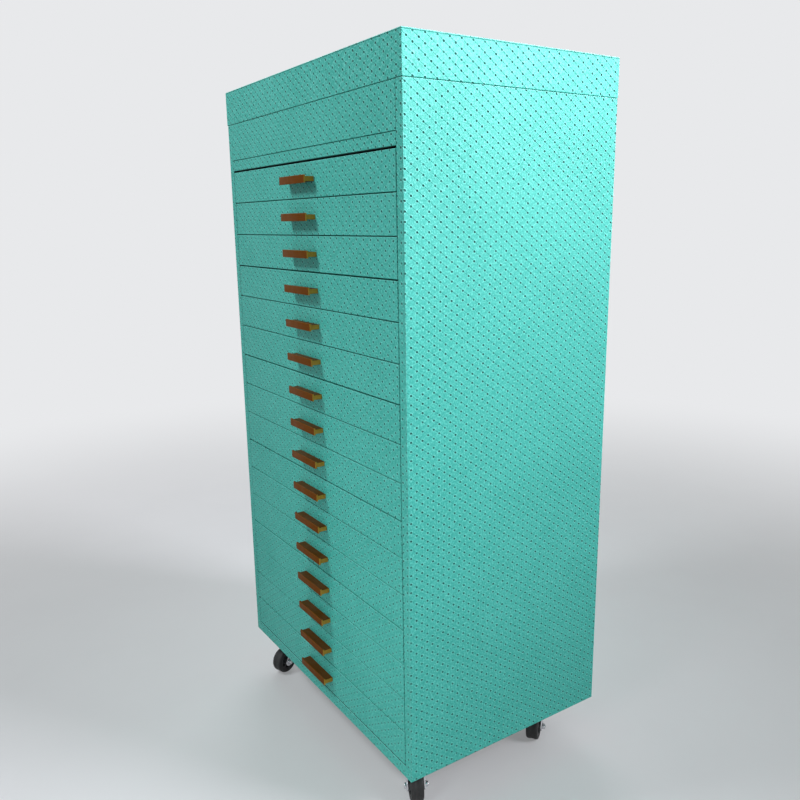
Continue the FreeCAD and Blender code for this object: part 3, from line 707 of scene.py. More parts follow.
@dataclass(frozen=True)
class Birch:
    """Pale plywood: faint figure on the faces and glued layers on the edges."""

    name: str = "birch_ply"
    base: Screen = (214, 190, 152)
    figure: Screen = (190, 158, 116)
    glue: Screen = (140, 104, 70)
    layer: float = 1.4 * MM
    pore_depth: float = 0.05 * MM

    def build(self, effects: Effects) -> Material:
        """Makes the material.

        Args:
            effects: The shared node groups, none of which it needs.

        Returns:
            The material.
        """
        draft = Draft(self.name)
        figure = draft.noise(draft.vector("MULTIPLY", draft.point, (1.0, 0.12, 1.0)), 60.0, 5.0, 0.65)
        pores = draft.noise(draft.vector("MULTIPLY", draft.point, (1.0, 0.05, 1.0)), 1200.0)
        upward = draft.fade(draft.size(draft.parts(draft.normal)[2]), 0.7, 0.9)
        wave = draft.math("SINE", draft.times(draft.parts(draft.point)[0], math.pi / self.layer))
        stripes = draft.times(upward, draft.fade(draft.size(wave), 0.55, 0.15))
        return draft.finish(
            base_color=draft.layered(
                self.base,
                (draft.fade(figure, 0.42, 0.66), self.figure),
                (draft.times(stripes, 0.6), self.glue),
            ),
            roughness=draft.fade(pores, 0.3, 0.7, 0.5, 0.68),
            normal=draft.bump(pores, self.pore_depth),
        )


@dataclass(frozen=True)
class GapShadeBoard:
    """Dense fibreboard stained near black; on the inner faces that only gaps show, its darkness is painted
    shade.
    """

    name: str = "dark_board_gap_shade"
    base: Screen = (30, 40, 38)
    fleck: Screen = (58, 62, 58)
    fibre_depth: float = 0.06 * MM

    def build(self, effects: Effects) -> Material:
        """Makes the material.

        Args:
            effects: The shared node groups.

        Returns:
            The material.
        """
        draft = Draft(self.name)
        fibre = draft.use(effects.fibre, point=draft.point)
        return draft.finish(
            base_color=draft.layered(
                self.base,
                (draft.fade(fibre["Height"], 0.45, 0.7, 0.0, 0.8), self.fleck),
                (draft.fade(fibre["Tone"], 0.3, 0.7, 0.0, 0.3), self.fleck),
            ),
            roughness=0.8,
            normal=draft.bump(fibre["Height"], self.fibre_depth),
        )


def make_materials(pitch: float, bank_top: float, front_seam: float, lid_top: float) -> dict[str, Material]:
    """Builds every material of the cabinet once.

    Args:
        pitch: Height from one drawer to the next.
        bank_top: Height at which the first drawer's space begins.
        front_seam: Height at which the compartment's front stands on its floor.
        lid_top: Height of the lid's top.

    Returns:
        The materials by name.
    """
    zinc_lines = (1.0, 0.06, 1.0)
    # a dark line just under the lid's top edge
    lid_dark_line = lid_top - 2.3 * MM
    # the frontage's seam is painted shade in the groove where the compartment's front stands on its floor
    frontage = {"seam_height": front_seam, "seam_half": 1.1 * MM, "pin_shade_share": 0.9, "edge_highlight_share": 0.4}
    fronts = {"sheet_height": pitch, "crease_shade_share": 0.5, "pin_shade_share": 0.86, "edge_highlight_share": 0.3}
    copper = {"metallic": 0.26, "rough": 0.42, "specular": 0.02, "dusty": 0.06}
    painted_end_light = {"stretch": (1.0, 1.0, 0.1), "metallic": 0.12, "rough": 0.45, "specular": 0.2}
    steel = {"metallic": 0.2, "rough": 0.55, "specular": 0.2, "line_depth": 0.01 * MM}
    finishes = (
        Leatherette("leatherette_sides", -1.1 * MM, -0.3 * MM),
        Leatherette("leatherette_lid", 7.4 * MM, 5.9 * MM, seam_height=lid_dark_line, seam_share=0.65),
        Leatherette("leatherette_frontage", 12.1 * MM, 1.3 * MM, **frontage),
        Leatherette("leatherette_back", 5.2 * MM, 8.8 * MM),
        Leatherette("leatherette_drawers", 0.0, pitch - bank_top % pitch, **fronts),
        SatinMetal("satin_copper", (110, 62, 8), (90, 48, 5), (168, 112, 44), **copper),
        # the handle's end faces: the same copper painted lighter, a painted reflection of the bright
        # surroundings
        SatinMetal("copper_ends_painted_light", (222, 154, 62), (188, 122, 42), (234, 184, 104), **painted_end_light),
        SatinMetal("zinc_plate", (150, 152, 154), (126, 129, 133), (188, 188, 186), zinc_lines, rough=0.34),
        SatinMetal("dull_steel", (112, 114, 117), (92, 94, 98), (160, 160, 158), zinc_lines, **steel),
        SatinMetal(
            "bright_plate",
            (206, 207, 210),
            (186, 188, 194),
            (236, 236, 236),
            stretch=(1.0, 1.0, 0.2),
            rough=0.2,
            square=False,
        ),
        Moulded("black_rubber", (24, 24, 25), (74, 72, 70), 0.6),
        Moulded("dark_nylon", (38, 38, 41), (80, 80, 82), 0.38, 0.03 * MM),
        Felt(),
        Birch(),
        GapShadeBoard(),
    )
    effects = Effects()
    return {finish.name: finish.build(effects) for finish in finishes}


# ---------------------------------------------------------------- meshes
def deselect_all() -> None:
    """Leaves object mode with nothing selected."""
    if bpy.context.mode != "OBJECT":
        bpy.ops.object.mode_set(mode="OBJECT")
    for piece in bpy.context.selected_objects:
        piece.select_set(False)


def select_only(*pieces: Piece) -> None:
    """Selects some pieces and nothing else, in object mode.

    Args:
        pieces: What to select; the first becomes the active one.
    """
    deselect_all()
    for piece in pieces:
        piece.select_set(True)
    bpy.context.view_layer.objects.active = pieces[0]


def rename(piece: Piece, name: str) -> None:
    """Gives a piece and its mesh one name."""
    piece.name = name
    piece.data.name = name


def begin_piece(name: str) -> Piece:
    """Names the primitive just added and moves its place into its mesh.

    Args:
        name: The piece's name.

    Returns:
        The piece.
    """
    piece = bpy.context.object
    rename(piece, name)
    bpy.ops.object.transform_apply(location=True, rotation=True, scale=True)
    return piece


def block(name: str, low: Vector | Triple, high: Vector | Triple) -> Piece:
    """A block between two corners, to be shaped.

    Args:
        name: The piece's name.
        low: Its lowest corner.
        high: Its highest corner.

    Returns:
        The piece.
    """
    deselect_all()
    low, high = Vector(low), Vector(high)
    bpy.ops.mesh.primitive_cube_add(size=1, location=(low + high) / 2)
    bpy.context.object.scale = high - low
    return begin_piece(name)


def drum(name: str, centre: Vector, radius: float, length: float, sides: int, tipped: bool = True) -> Piece:
    """A drum to be shaped.

    Args:
        name: The piece's name.
        centre: Its middle.
        radius: Its radius.
        length: Its length along the axis.
        sides: How many sides it has.
        tipped: Whether its axis lies along Y; otherwise it stands.

    Returns:
        The piece.
    """
    deselect_all()
    turn = (math.pi / 2, 0, 0) if tipped else (0, 0, 0)
    bpy.ops.mesh.primitive_cylinder_add(
        vertices=sides, radius=radius, depth=length, location=centre, rotation=turn
    )
    return begin_piece(name)


@contextmanager
def editing(piece: Piece) -> Iterator[None]:
    """Edit mode on one piece, in face select mode with nothing selected.

    Args:
        piece: The piece.

    Yields:
        Nothing.
    """
    select_only(piece)
    bpy.ops.object.mode_set(mode="EDIT")
    bpy.ops.mesh.select_mode(type="FACE")
    bpy.ops.mesh.select_all(action="DESELECT")
    yield
    bpy.ops.object.mode_set(mode="OBJECT")
    deselect_all()


def looking(way: Vector | Triple, where: Where = lambda middle: True) -> Rule:
    """A rule for the faces that look one way.

    Args:
        way: The direction, of length 1.
        where: Tells from a face's middle whether the rule takes it.

    Returns:
        The rule.
    """
    return lambda middle, normal: normal.dot(Vector(way)) > FACING and where(middle)


def pick(piece: Piece, wanted: Rule) -> None:
    """Selects faces by place, and only those.

    Args:
        piece: The piece, in edit mode.
        wanted: Tells from a face's middle and normal whether it is selected.
    """
    bpy.ops.mesh.select_all(action="DESELECT")
    mesh = bmesh.from_edit_mesh(piece.data)
    for face in mesh.faces:
        face.select_set(wanted(face.calc_center_median(), face.normal))
    bmesh.update_edit_mesh(piece.data)


def cut_across(place: Triple, normal: Triple) -> None:
    """Cuts every face of the piece in edit mode along a plane."""
    bpy.ops.mesh.select_all(action="SELECT")
    bpy.ops.mesh.bisect(plane_co=place, plane_no=normal)


def pull(offset: Vector | Triple) -> None:
    """Extrudes the selected faces as one region by an offset."""
    bpy.ops.mesh.extrude_region_move(TRANSFORM_OT_translate={"value": tuple(offset)})


def hollow_out(piece: Piece, wall: float) -> None:
    """Cuts a block through from top to underside, so that a mitred band is left.

    Args:
        piece: The block.
        wall: Width of the band.
    """
    with editing(piece):
        pick(piece, lambda middle, normal: abs(normal.z) > FACING)
        bpy.ops.mesh.inset(thickness=wall, use_boundary=True)
        bpy.ops.mesh.bridge_edge_loops()


def scale_about(centre: Vector, scale: Triple) -> None:
    """Scales what is selected about a point."""
    bpy.ops.transform.resize(value=scale, center_override=tuple(centre))


def soften(piece: Piece, width: float, segments: int = 2, angle: float = 30.0) -> None:
    """Rounds a piece's sharp edges, melds corners that met in the rounding and smooths its shading.

    Args:
        piece: The piece.
        width: Width of the rounding.
        segments: Its steps.
        angle: Edges sharper than this, in degrees, are rounded.
    """
    select_only(piece)
    bevel = piece.modifiers.new("rounding", "BEVEL")
    bevel.width = width
    bevel.segments = segments
    bevel.limit_method = "ANGLE"
    bevel.angle_limit = math.radians(angle)
    bpy.ops.object.modifier_apply(modifier=bevel.name)
    with editing(piece):
        bpy.ops.mesh.select_all(action="SELECT")
        bpy.ops.mesh.dissolve_degenerate(threshold=MELD)
    select_only(piece)
    bpy.ops.object.shade_smooth_by_angle(angle=math.radians(SMOOTH_BELOW))
    deselect_all()


def join(name: str, pieces: list[Piece]) -> Piece:
    """Joins pieces into the first of them.

    Args:
        name: The joined piece's name.
        pieces: What to join.

    Returns:
        The joined piece.
    """
    select_only(*pieces)
    bpy.ops.object.join()
    rename(pieces[0], name)
    deselect_all()
    return pieces[0]


def copy_to(source: Piece, name: str, move: Matrix) -> Piece:
    """A copy with its own mesh, set in place.

    Args:
        source: The piece to copy.
        name: The copy's name.
        move: Where the copy goes.

    Returns:
        The copy.
    """
    piece = source.copy()
    piece.data = source.data.copy()
    piece.data.transform(move)
    rename(piece, name)
    bpy.context.scene.collection.objects.link(piece)
    return piece


def discard(piece: Piece) -> None:
    """Removes a pattern piece once its copies are made."""
    bpy.data.objects.remove(piece)


def settle(piece: Piece, body: str, slot: Slot, *nodes: str) -> Piece:
    """Makes a finished piece ride on its body.

    Args:
        piece: The piece.
        body: The CAD body that it moves with.
        slot: The record's slot that its finish belongs to; not used.
        nodes: The CAD nodes that it stands for, if any.

    Returns:
        The piece.
    """
    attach(piece, body)
    if nodes:
        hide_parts(*nodes)
    LOG.info("%s rides on %s", piece.name, body)
    return piece


# ---------------------------------------------------------------- the cabinet
@dataclass
class Maker:
    """Whatever makes pieces, with the materials to paint them with."""

    materials: dict[str, Material]

    def paint(self, piece: Piece, main: str, *rest: tuple[str, Rule]) -> None:
        """Gives a piece its materials.

        Args:
            piece: The piece.
            main: Name of the material of every face that no rule takes.
            rest: Names of further materials, each with the rule that picks its faces.
        """
        piece.data.materials.clear()
        for name in (main, *(name for name, _ in rest)):
            piece.data.materials.append(self.materials[name])
        for face in piece.data.polygons:
            takes = [wanted(face.center, face.normal) for _, wanted in rest]
            face.material_index = takes.index(True) + 1 if True in takes else 0


@dataclass
class Assembly(Maker):
    """A sub-assembly of the cabinet, with the CAD nodes to dress."""

    nodes: dict[str, Piece]

    def dress(self, name: str, slot: Slot, main: str, *rest: tuple[str, Rule]) -> None:
        """Paints a CAD node.

        Args:
            name: The node's name.
            slot: The record's slot; not used.
            main: Name of its main material.
            rest: Names of further materials with their rules.
        """
        self.paint(self.nodes[name], main, *rest)
        LOG.info("%s is dressed", name)


@dataclass
class Carcass(Assembly):
    """The boards that stand still, the top compartment and its felt."""

    hem_width: float = 20.0 * MM
    hem_thickness: float = 0.6 * MM
    lining_thickness: float = 1.2 * MM
    lining_drop: float = 2.0 * MM  # below the rim
    lining_edge: float = 0.4 * MM  # width of a rounding, like each edge below
    hem_inset: float = 1.5 * MM
    hem_edge: float = 0.25 * MM

    def build(self) -> None:
        """Dresses the boards, lines the compartment's walls and lays the hem underneath."""
        self.dress_boards()
        self.line_compartment()
        self.lay_hem()

    def dress_boards(self) -> None:
        """Leatherette where the boards show; near-black board, painted shade where it shows through the
        gaps, inside the bank of drawers and on the base panel's top and underside.
        """
        floor_low, floor_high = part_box("compartment_floor")
        back_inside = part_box("back_panel")[0].y
        hem_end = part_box("base_panel")[0].y + self.hem_width

        def within(middle: Vector, normal: Vector) -> bool:
            """A side panel's inner face."""
            return abs(middle.x) < floor_high.x + TOUCH and abs(normal.x) > FACING and middle.z < floor_low.z

        def behind(middle: Vector) -> bool:
            """The back panel's inner face behind the drawers."""
            return middle.y < back_inside + TOUCH and middle.z < floor_low.z

        def out_of_sight(middle: Vector, normal: Vector) -> bool:
            """The base panel's top and underside."""
            return abs(normal.z) > FACING and middle.y > hem_end

        # the near-black board paints the shade on faces seen only through gaps
        for name, wrap, gap_shade_faces in (
            ("side_panel_left", "sides", within),
            ("side_panel_right", "sides", within),
            ("back_panel", "back", looking(FRONT, behind)),
            ("base_panel", "frontage", out_of_sight),
            ("compartment_floor", "frontage", looking(DOWN)),
        ):
            self.dress(name, Slot.LEATHERETTE, f"leatherette_{wrap}", ("dark_board_gap_shade", gap_shade_faces))
        self.dress("compartment_front", Slot.LEATHERETTE, "leatherette_frontage")
        self.dress("compartment_lining", Slot.FELT, "grey_felt")

    def line_compartment(self) -> None:
        """A felt band glued round the compartment's walls."""
        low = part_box("compartment_lining")[0]
        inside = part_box("compartment_floor")[1].x
        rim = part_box("compartment_front")[1]
        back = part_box("back_panel")[0].y
        band = block(
            "compartment_wall_lining",
            (-inside, rim.y, low.z),
            (inside, back, rim.z - self.lining_drop),
        )
        hollow_out(band, self.lining_thickness)
        soften(band, self.lining_edge)
        self.paint(band, "grey_felt")
        settle(band, "carcass", Slot.FELT)

    def lay_hem(self) -> None:
        """The leatherette turned under the cabinet: a mitred band round the underside."""
        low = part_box("side_panel_left")[0]
        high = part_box("side_panel_right")[1]
        inset = self.hem_inset
        hem = block(
            "underside_hem",
            (low.x + inset, low.y + inset, low.z - self.hem_thickness),
            (high.x - inset, high.y - inset, low.z),
        )
        hollow_out(hem, self.hem_width)
        soften(hem, self.hem_edge)
        self.paint(hem, "leatherette_frontage")
        settle(hem, "carcass", Slot.LEATHERETTE)


@dataclass
class Lid(Assembly):
    """The hinged lid with its felt lining, and the two hinges."""

    wall: float = 16.0 * MM
    lining_margin: float = 1.0 * MM
    lining_thickness: float = 1.5 * MM
    lining_edge: float = 0.4 * MM
    pressed_border: float = 9.0 * MM
    press_depth: float = 0.5 * MM

    def build(self) -> None:
        """Dresses the lid and hinges and lines the lid."""
        self.dress("lid", Slot.LEATHERETTE, "leatherette_lid")
        for name in ("hinge_leaves_cabinet", "hinge_leaves_lid", "hinge_pins"):
            self.dress(name, Slot.ZINC, "dull_steel")
        self.line()

    def line(self) -> None:
        """A felt sheet glued under the top of the lid."""
        low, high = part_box("lid")
        inset = self.wall + self.lining_margin
        under = high.z - self.wall
        lining = block(
            "lid_lining",
            (low.x + inset, low.y + inset, under - self.lining_thickness),
            (high.x - inset, high.y - inset, under),
        )
        with editing(lining):
            pick(lining, looking(DOWN))
            bpy.ops.mesh.inset(thickness=self.pressed_border)
            bpy.ops.mesh.inset(thickness=self.lining_thickness)
            pull((0, 0, -self.press_depth))
        soften(lining, self.lining_edge, angle=20.0)
        self.paint(lining, "grey_felt")
        settle(lining, "lid", Slot.FELT)


@dataclass
class Handle(Maker):
    """A T-section bar with a broad front lip, held by two screws from inside the drawer."""

    lip_thickness: float = 3.2 * MM
    neck_height: float = 8.0 * MM
    edge: float = 0.5 * MM
    screw_spacing: float = 64.0 * MM
    screw_head_radius: float = 4.0 * MM
    screw_head_height: float = 2.2 * MM
    screw_edge: float = 0.4 * MM
    socket_radius: float = 1.8 * MM

    def bar(self, low: Vector, high: Vector, front_face: float) -> Piece:
        """The bar of the first drawer.

        Args:
            low: Lowest corner of the CAD handle.
            high: Its highest corner.
            front_face: Where the drawer's front begins.

        Returns:
            The bar.
        """
        middle = (low.z + high.z) / 2
        half_neck = self.neck_height / 2
        lip_back = low.y + self.lip_thickness
        piece = block("handle", low, (high.x, lip_back, high.z))
        with editing(piece):
            for height in (middle - half_neck, middle + half_neck):
                cut_across((0, lip_back, height), UP)
            pick(piece, looking(BACK, lambda place: abs(place.z - middle) < half_neck))
            pull((0, front_face - lip_back, 0))
        soften(piece, self.edge, 3)
        # the end faces get the lighter copper: painted reflection
        self.paint(piece, "satin_copper", ("copper_ends_painted_light", lambda place, normal: abs(normal.x) > FACING))
        return piece

    def screws(self, level: float, front_back: float) -> Piece:
        """The two screw heads inside the first drawer.

        Args:
            level: Height of the screws.
            front_back: The inner face of the drawer's front.

        Returns:
            The heads, as one piece.
        """
        heads = []
        for hand in (-1, 1):
            centre = Vector((hand * self.screw_spacing / 2, front_back + self.screw_head_height / 2, level))
            head = drum(f"head_{hand}", centre, self.screw_head_radius, self.screw_head_height, 32)
            with editing(head):
                pick(head, looking(BACK))
                bpy.ops.mesh.inset(thickness=self.screw_head_radius - self.socket_radius)
                pull((0, -self.screw_head_height / 2, 0))
            soften(head, self.screw_edge, 3)
            heads.append(head)
        piece = join("handle_screws", heads)
        self.paint(piece, "zinc_plate")
        return piece


@dataclass
class DrawerBank(Assembly):
    """Sixteen drawers: covered fronts, boxes with felt, slides and handles."""

    box_bottom: float = 5.0 * MM
    box_lift: float = 7.0 * MM
    rail_space: float = 10.0 * MM
    felt_thickness: float = 1.5 * MM
    front_thickness: float = 15.0 * MM

    def build(self) -> None:
        """Dresses the drawers and the rails, and fits the handles."""
        self.dress("drawer_rails", Slot.ZINC, "zinc_plate")
        self.dress("rail_screws", Slot.ZINC, "zinc_plate")
        for name in DRAWERS:
            self.dress_drawer(name)
        self.fit_handles()

    def dress_drawer(self, name: str) -> None:
        """Leatherette on the front, plywood box, felt in it and zinc slides outside.

        Args:
            name: The drawer's node.
        """
        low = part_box(name)[0]
        front_back = low.y + self.front_thickness
        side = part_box("compartment_floor")[1].x - self.rail_space
        felt_low = low.z + self.box_lift + self.box_bottom
        felt_high = felt_low + self.felt_thickness

        def box_board(middle: Vector, normal: Vector) -> bool:
            """The plywood of the box."""
            return middle.y > front_back - TOUCH and abs(middle.x) < side + TOUCH

        def felt(middle: Vector, normal: Vector) -> bool:
            """The felt sheet on the bottom."""
            return box_board(middle, normal) and felt_low + TOUCH < middle.z < felt_high + TOUCH

        def slide(middle: Vector, normal: Vector) -> bool:
            """The sliders on both sides."""
            return abs(middle.x) > side + TOUCH and middle.y > front_back + TOUCH

        rules = (("grey_felt", felt), ("birch_ply", box_board), ("zinc_plate", slide))
        self.dress(name, Slot.LEATHERETTE, "leatherette_drawers", *rules)

    def fit_handles(self) -> None:
        """One handle and its screws modelled, then copied to every drawer."""
        maker = Handle(self.materials)
        front_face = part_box("drawer_01")[0].y
        low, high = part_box("drawer_01_handle")
        bar = maker.bar(low, high, front_face)
        screws = maker.screws((low.z + high.z) / 2, front_face + self.front_thickness)
        for body in DRAWERS:
            number = body.removeprefix("drawer_")
            drop = Matrix.Translation((0, 0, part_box(f"{body}_handle")[0].z - low.z))
            settle(copy_to(bar, f"handle_{number}", drop), body, Slot.COPPER, f"{body}_handle")
            settle(copy_to(screws, f"handle_screws_{number}", drop), body, Slot.ZINC)
        discard(bar)
        discard(screws)


@dataclass
class Caster(Maker):
    """A swivel caster, modelled with its swivel axis at the origin and its wheel trailing to +X."""

    trail: float = 26.0 * MM
    crown_top: float = 69.1 * MM
    crown_radius: float = 18.0 * MM
    crown_dish: float = 0.9 * MM
    plate_half_length: float = 14.0 * MM
    plate_drop: float = 0.3 * MM  # of the plate's top below the crown's
    width: float = 31.0 * MM
    sheet: float = 2.5 * MM
    end_radius: float = 9.0 * MM
    leg_edge: float = 0.5 * MM
    crown_edge: float = 0.7 * MM
    wheel_radius: float = 25.0 * MM
    wheel_width: float = 22.0 * MM
    wheel_sides: int = 72
    tyre_thickness: float = 8.0 * MM
    groove_half: float = 3.0 * MM
    groove_side: float = 0.3 * MM
    groove_depth: float = 0.5 * MM
    shoulder: float = 3.2 * MM
    tyre_edge: float = 0.3 * MM
    hub_recess: float = 3.0 * MM
    hub_lip: float = 2.0 * MM
    hub_drop: float = 0.8 * MM  # of its lip below the tyre's side
    hub_boss_radius: float = 8.0 * MM
    pocket_margin: float = 0.8 * MM
    pocket_depth: float = 3.5 * MM
    hub_edge: float = 0.35 * MM
    boss_half: float = 12.7 * MM
    spokes: int = 6
    spoke_turn: float = 10.0  # how far each spoke reaches round the hub, in degrees
    axle_radius: float = 3.0 * MM
    head_flats: float = 10.0 * MM
    head_height: float = 4.0 * MM
    nut_height: float = 5.0 * MM
    thread_tip: float = 1.0 * MM
    bolt_edge: float = 0.3 * MM

    @property
    def axle(self) -> Vector:
        """The middle of the axle."""
        return Vector((self.trail, 0, self.wheel_radius))

    def fork(self) -> Piece:
        """Two legs folded down from a top plate, with a round crown over it.

        Returns:
            The fork.
        """
        half = self.width / 2
        leg_inside = half - self.sheet
        plate_top = self.crown_top - self.plate_drop
        plate_low = self.crown_top - self.sheet
        body = block(
            "fork_body",
            (-self.plate_half_length, -half, plate_low),
            (self.plate_half_length, half, plate_top),
        )
        with editing(body):
            for place in (-leg_inside, leg_inside):
                cut_across((0, place, plate_low), BACK)
            pick(body, looking(DOWN, lambda middle: abs(middle.y) > leg_inside))
            self.shape_legs(plate_low)
        soften(body, self.leg_edge)
        centre = Vector((0, 0, self.crown_top - self.sheet / 2))
        crown = drum("fork_crown", centre, self.crown_radius, self.sheet, 64, tipped=False)
        with editing(crown):
            pick(crown, looking(DOWN))
            bpy.ops.mesh.inset(thickness=self.sheet)
            pull((0, 0, self.crown_dish))
        soften(crown, self.crown_edge, 3)
        fork = join("fork", [body, crown])
        self.paint(fork, "bright_plate")
        return fork

    def shape_legs(self, plate_low: float) -> None:
        """Draws both selected leg roots down to the axle and rounds their ends.

        Args:
            plate_low: Height of the plate's underside.
        """
        steps = 9
        pull((self.trail, 0, self.wheel_radius - plate_low))
        centre = self.axle
        scale_about(centre, (self.end_radius / self.plate_half_length, 1, 1))
        reach = self.end_radius
        for step in range(1, steps):
            angle = math.pi / 2 * step / steps
            drop = self.end_radius * (math.sin(angle) - math.sin(angle - math.pi / 2 / steps))
            pull((0, 0, -drop))
            wanted = self.end_radius * math.cos(angle)
            scale_about(centre, (wanted / reach, 1, 1))
            reach = wanted

    def tyre(self) -> Piece:
        """A rubber ring with rounded shoulders and a shallow groove round the tread.

        Returns:
            The tyre.
        """
        ring = drum("tyre", self.axle, self.wheel_radius, self.wheel_width, self.wheel_sides)
        with editing(ring):
            pick(ring, lambda middle, normal: abs(normal.y) < FACING)
            bpy.ops.mesh.inset(thickness=self.wheel_width / 2 - self.groove_half, use_boundary=True)
            bpy.ops.mesh.inset(thickness=self.groove_side, depth=-self.groove_depth, use_boundary=True)
            pick(ring, lambda middle, normal: abs(normal.y) > FACING)
            bpy.ops.mesh.inset(thickness=self.tyre_thickness)
            bpy.ops.mesh.bridge_edge_loops()
            bpy.ops.mesh.select_all(action="DESELECT")
            self.pick_shoulders(ring)
            bpy.ops.mesh.bevel(offset=self.shoulder, segments=5, affect="EDGES", profile=0.5)
        soften(ring, self.tyre_edge)
        self.paint(ring, "black_rubber")
        return ring

    def pick_shoulders(self, ring: Piece) -> None:
        """Selects the two outer edge loops of the tyre, in edit mode.

        Args:
            ring: The tyre.
        """
        bpy.ops.mesh.select_mode(type="EDGE")
        mesh = bmesh.from_edit_mesh(ring.data)
        for edge in mesh.edges:
            ends = [vertex.co - self.axle for vertex in edge.verts]
            on_side = all(abs(abs(end.y) - self.wheel_width / 2) < TOUCH for end in ends)
            outside = all(math.hypot(end.x, end.z) > self.wheel_radius - self.shoulder for end in ends)
            edge.select_set(on_side and outside)
        bmesh.update_edit_mesh(ring.data)

    def hub(self) -> Piece:
        """A nylon hub: raised rim, pocketed web and a long boss.

        Returns:
            The hub.
        """
        rim = self.wheel_radius - self.tyre_thickness
        web = self.wheel_width / 2 - self.hub_recess
        web_radius = rim - self.hub_lip
        piece = drum("hub", self.axle, rim, 2 * web, self.wheel_sides)
        for side in (-1, 1):
            outward = Vector((0, side, 0))
            with editing(piece):
                pick(piece, looking(outward))
                bpy.ops.mesh.inset(thickness=self.hub_lip)
                bpy.ops.mesh.inset(thickness=web_radius - self.hub_boss_radius)
                pull(outward * (self.boss_half - web))
                pick(piece, looking(outward, lambda middle: self.near(middle) > web_radius))
                pull(outward * (self.hub_recess - self.hub_drop))
                pick(piece, looking(outward, lambda middle: self.in_pocket(middle, web_radius)))
                bpy.ops.mesh.inset(thickness=self.pocket_margin)
                pull(outward * -self.pocket_depth)
        soften(piece, self.hub_edge)
        self.paint(piece, "dark_nylon")
        return piece

    def near(self, place: Vector) -> float:
        """Distance of a place from the axle's line."""
        return math.hypot(place.x - self.axle.x, place.z - self.axle.z)

    def in_pocket(self, place: Vector, outer: float) -> bool:
        """Whether a face of the web lies between two spokes.

        Args:
            place: The face's middle.
            outer: Radius at which the web ends.

        Returns:
            True for the faces of a pocket.
        """
        share = 360 / self.spokes
        turn = math.degrees(math.atan2(place.z - self.axle.z, place.x - self.axle.x)) % share
        face_end = turn + 180 / self.wheel_sides
        return self.hub_boss_radius < self.near(place) < outer and self.spoke_turn < face_end < share

    def turned(
        self, name: str, start: float, end: float, radius: float, sides: int, step: float, rise: float
    ) -> Piece:
        """A piece on the axle whose outer end is stepped.

        Args:
            name: Its name.
            start: Where along Y its inner end lies.
            end: Where along Y its outer end lies, before the step.
            radius: Its radius, to the corners where it has flats.
            sides: How many sides it has.
            step: How far in from its rim the end is stepped.
            rise: How far the stepped middle stands out, or in where it is negative.

        Returns:
            The piece.
        """
        outward = math.copysign(1.0, end - start)
        centre = self.axle + Vector((0, (start + end) / 2, 0))
        piece = drum(name, centre, radius, abs(end - start), sides)
        with editing(piece):
            pick(piece, looking((0, outward, 0)))
            bpy.ops.mesh.inset(thickness=step)
            pull((0, outward * rise, 0))
        soften(piece, self.bolt_edge)
        return piece

    def axle_bolt(self) -> Piece:
        """The axle bolt's head, its nut with a round collar, and the thread that stands out.

        Returns:
            The bolt.
        """
        half = self.width / 2
        hexagon = 6
        head_bevel = 1.3 * MM
        nut_bevel = 1.1 * MM
        crown = 0.8 * MM  # of the head and nut, above their flats
        collar = 1.4 * MM
        collar_wall = 1.0 * MM
        point = 0.6 * MM  # the thread's tapered end, and the collar's hollow
        flats = self.head_flats / 2
        corner = flats / math.cos(math.pi / 6)
        head_face = crown - half - self.head_height
        nut_top = half + self.nut_height
        nut_face = nut_top - collar - crown
        tip = nut_top + self.thread_tip - point
        pieces = [
            self.turned("axle_head", -half, head_face, corner, hexagon, head_bevel, crown),
            self.turned("axle_nut", half, nut_face, corner, hexagon, nut_bevel, crown),
            self.turned("nut_collar", nut_face, nut_top, flats - point, 36, collar_wall, -point),
            self.turned("axle_shank", -half, tip, self.axle_radius, 32, point, point),
        ]
        piece = join("axle_bolt", pieces)
        self.paint(piece, "bright_plate")
        return piece


@dataclass
class CasterSet(Assembly):
    """The four casters under the cabinet."""

    joints: dict[str, dict]  # each joint's entry in the frame, by its name

    def build(self) -> None:
        """Dresses the fixed parts and sets a copy of each moving part at every spot."""
        for name in ("caster_plates", "caster_kingpins", "caster_screws"):
            self.dress(name, Slot.CASTER, "bright_plate")
        maker = Caster(self.materials)
        fork, tyre, hub, bolt = maker.fork(), maker.tyre(), maker.hub(), maker.axle_bolt()
        for spot in SPOTS:
            move = self.place(spot)
            caster, wheel = f"caster_{spot}", f"wheel_{spot}"
            settle(copy_to(fork, f"fork_{spot}", move), caster, Slot.CASTER, f"{caster}_fork")
            settle(copy_to(bolt, f"axle_bolt_{spot}", move), caster, Slot.CASTER, f"{caster}_axle")
            settle(copy_to(tyre, f"tyre_{spot}", move), wheel, Slot.RUBBER, f"{caster}_wheel")
            settle(copy_to(hub, f"hub_{spot}", move), wheel, Slot.RUBBER)
        for pattern in (fork, tyre, hub, bolt):
            discard(pattern)

    def place(self, spot: str) -> Matrix:
        """Where a caster stands and which way its wheel trails.

        Args:
            spot: The caster's place under the cabinet.

        Returns:
            The move from the origin to that place.
        """
        swivel = Vector(self.joints[f"caster_{spot}_swivel"]["pos_m"])
        low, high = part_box(f"caster_{spot}_wheel")
        trailing = (low + high) / 2 - swivel
        turn = math.atan2(trailing.y, trailing.x)
        return Matrix.Translation((swivel.x, swivel.y, 0)) @ Matrix.Rotation(turn, 4, "Z")


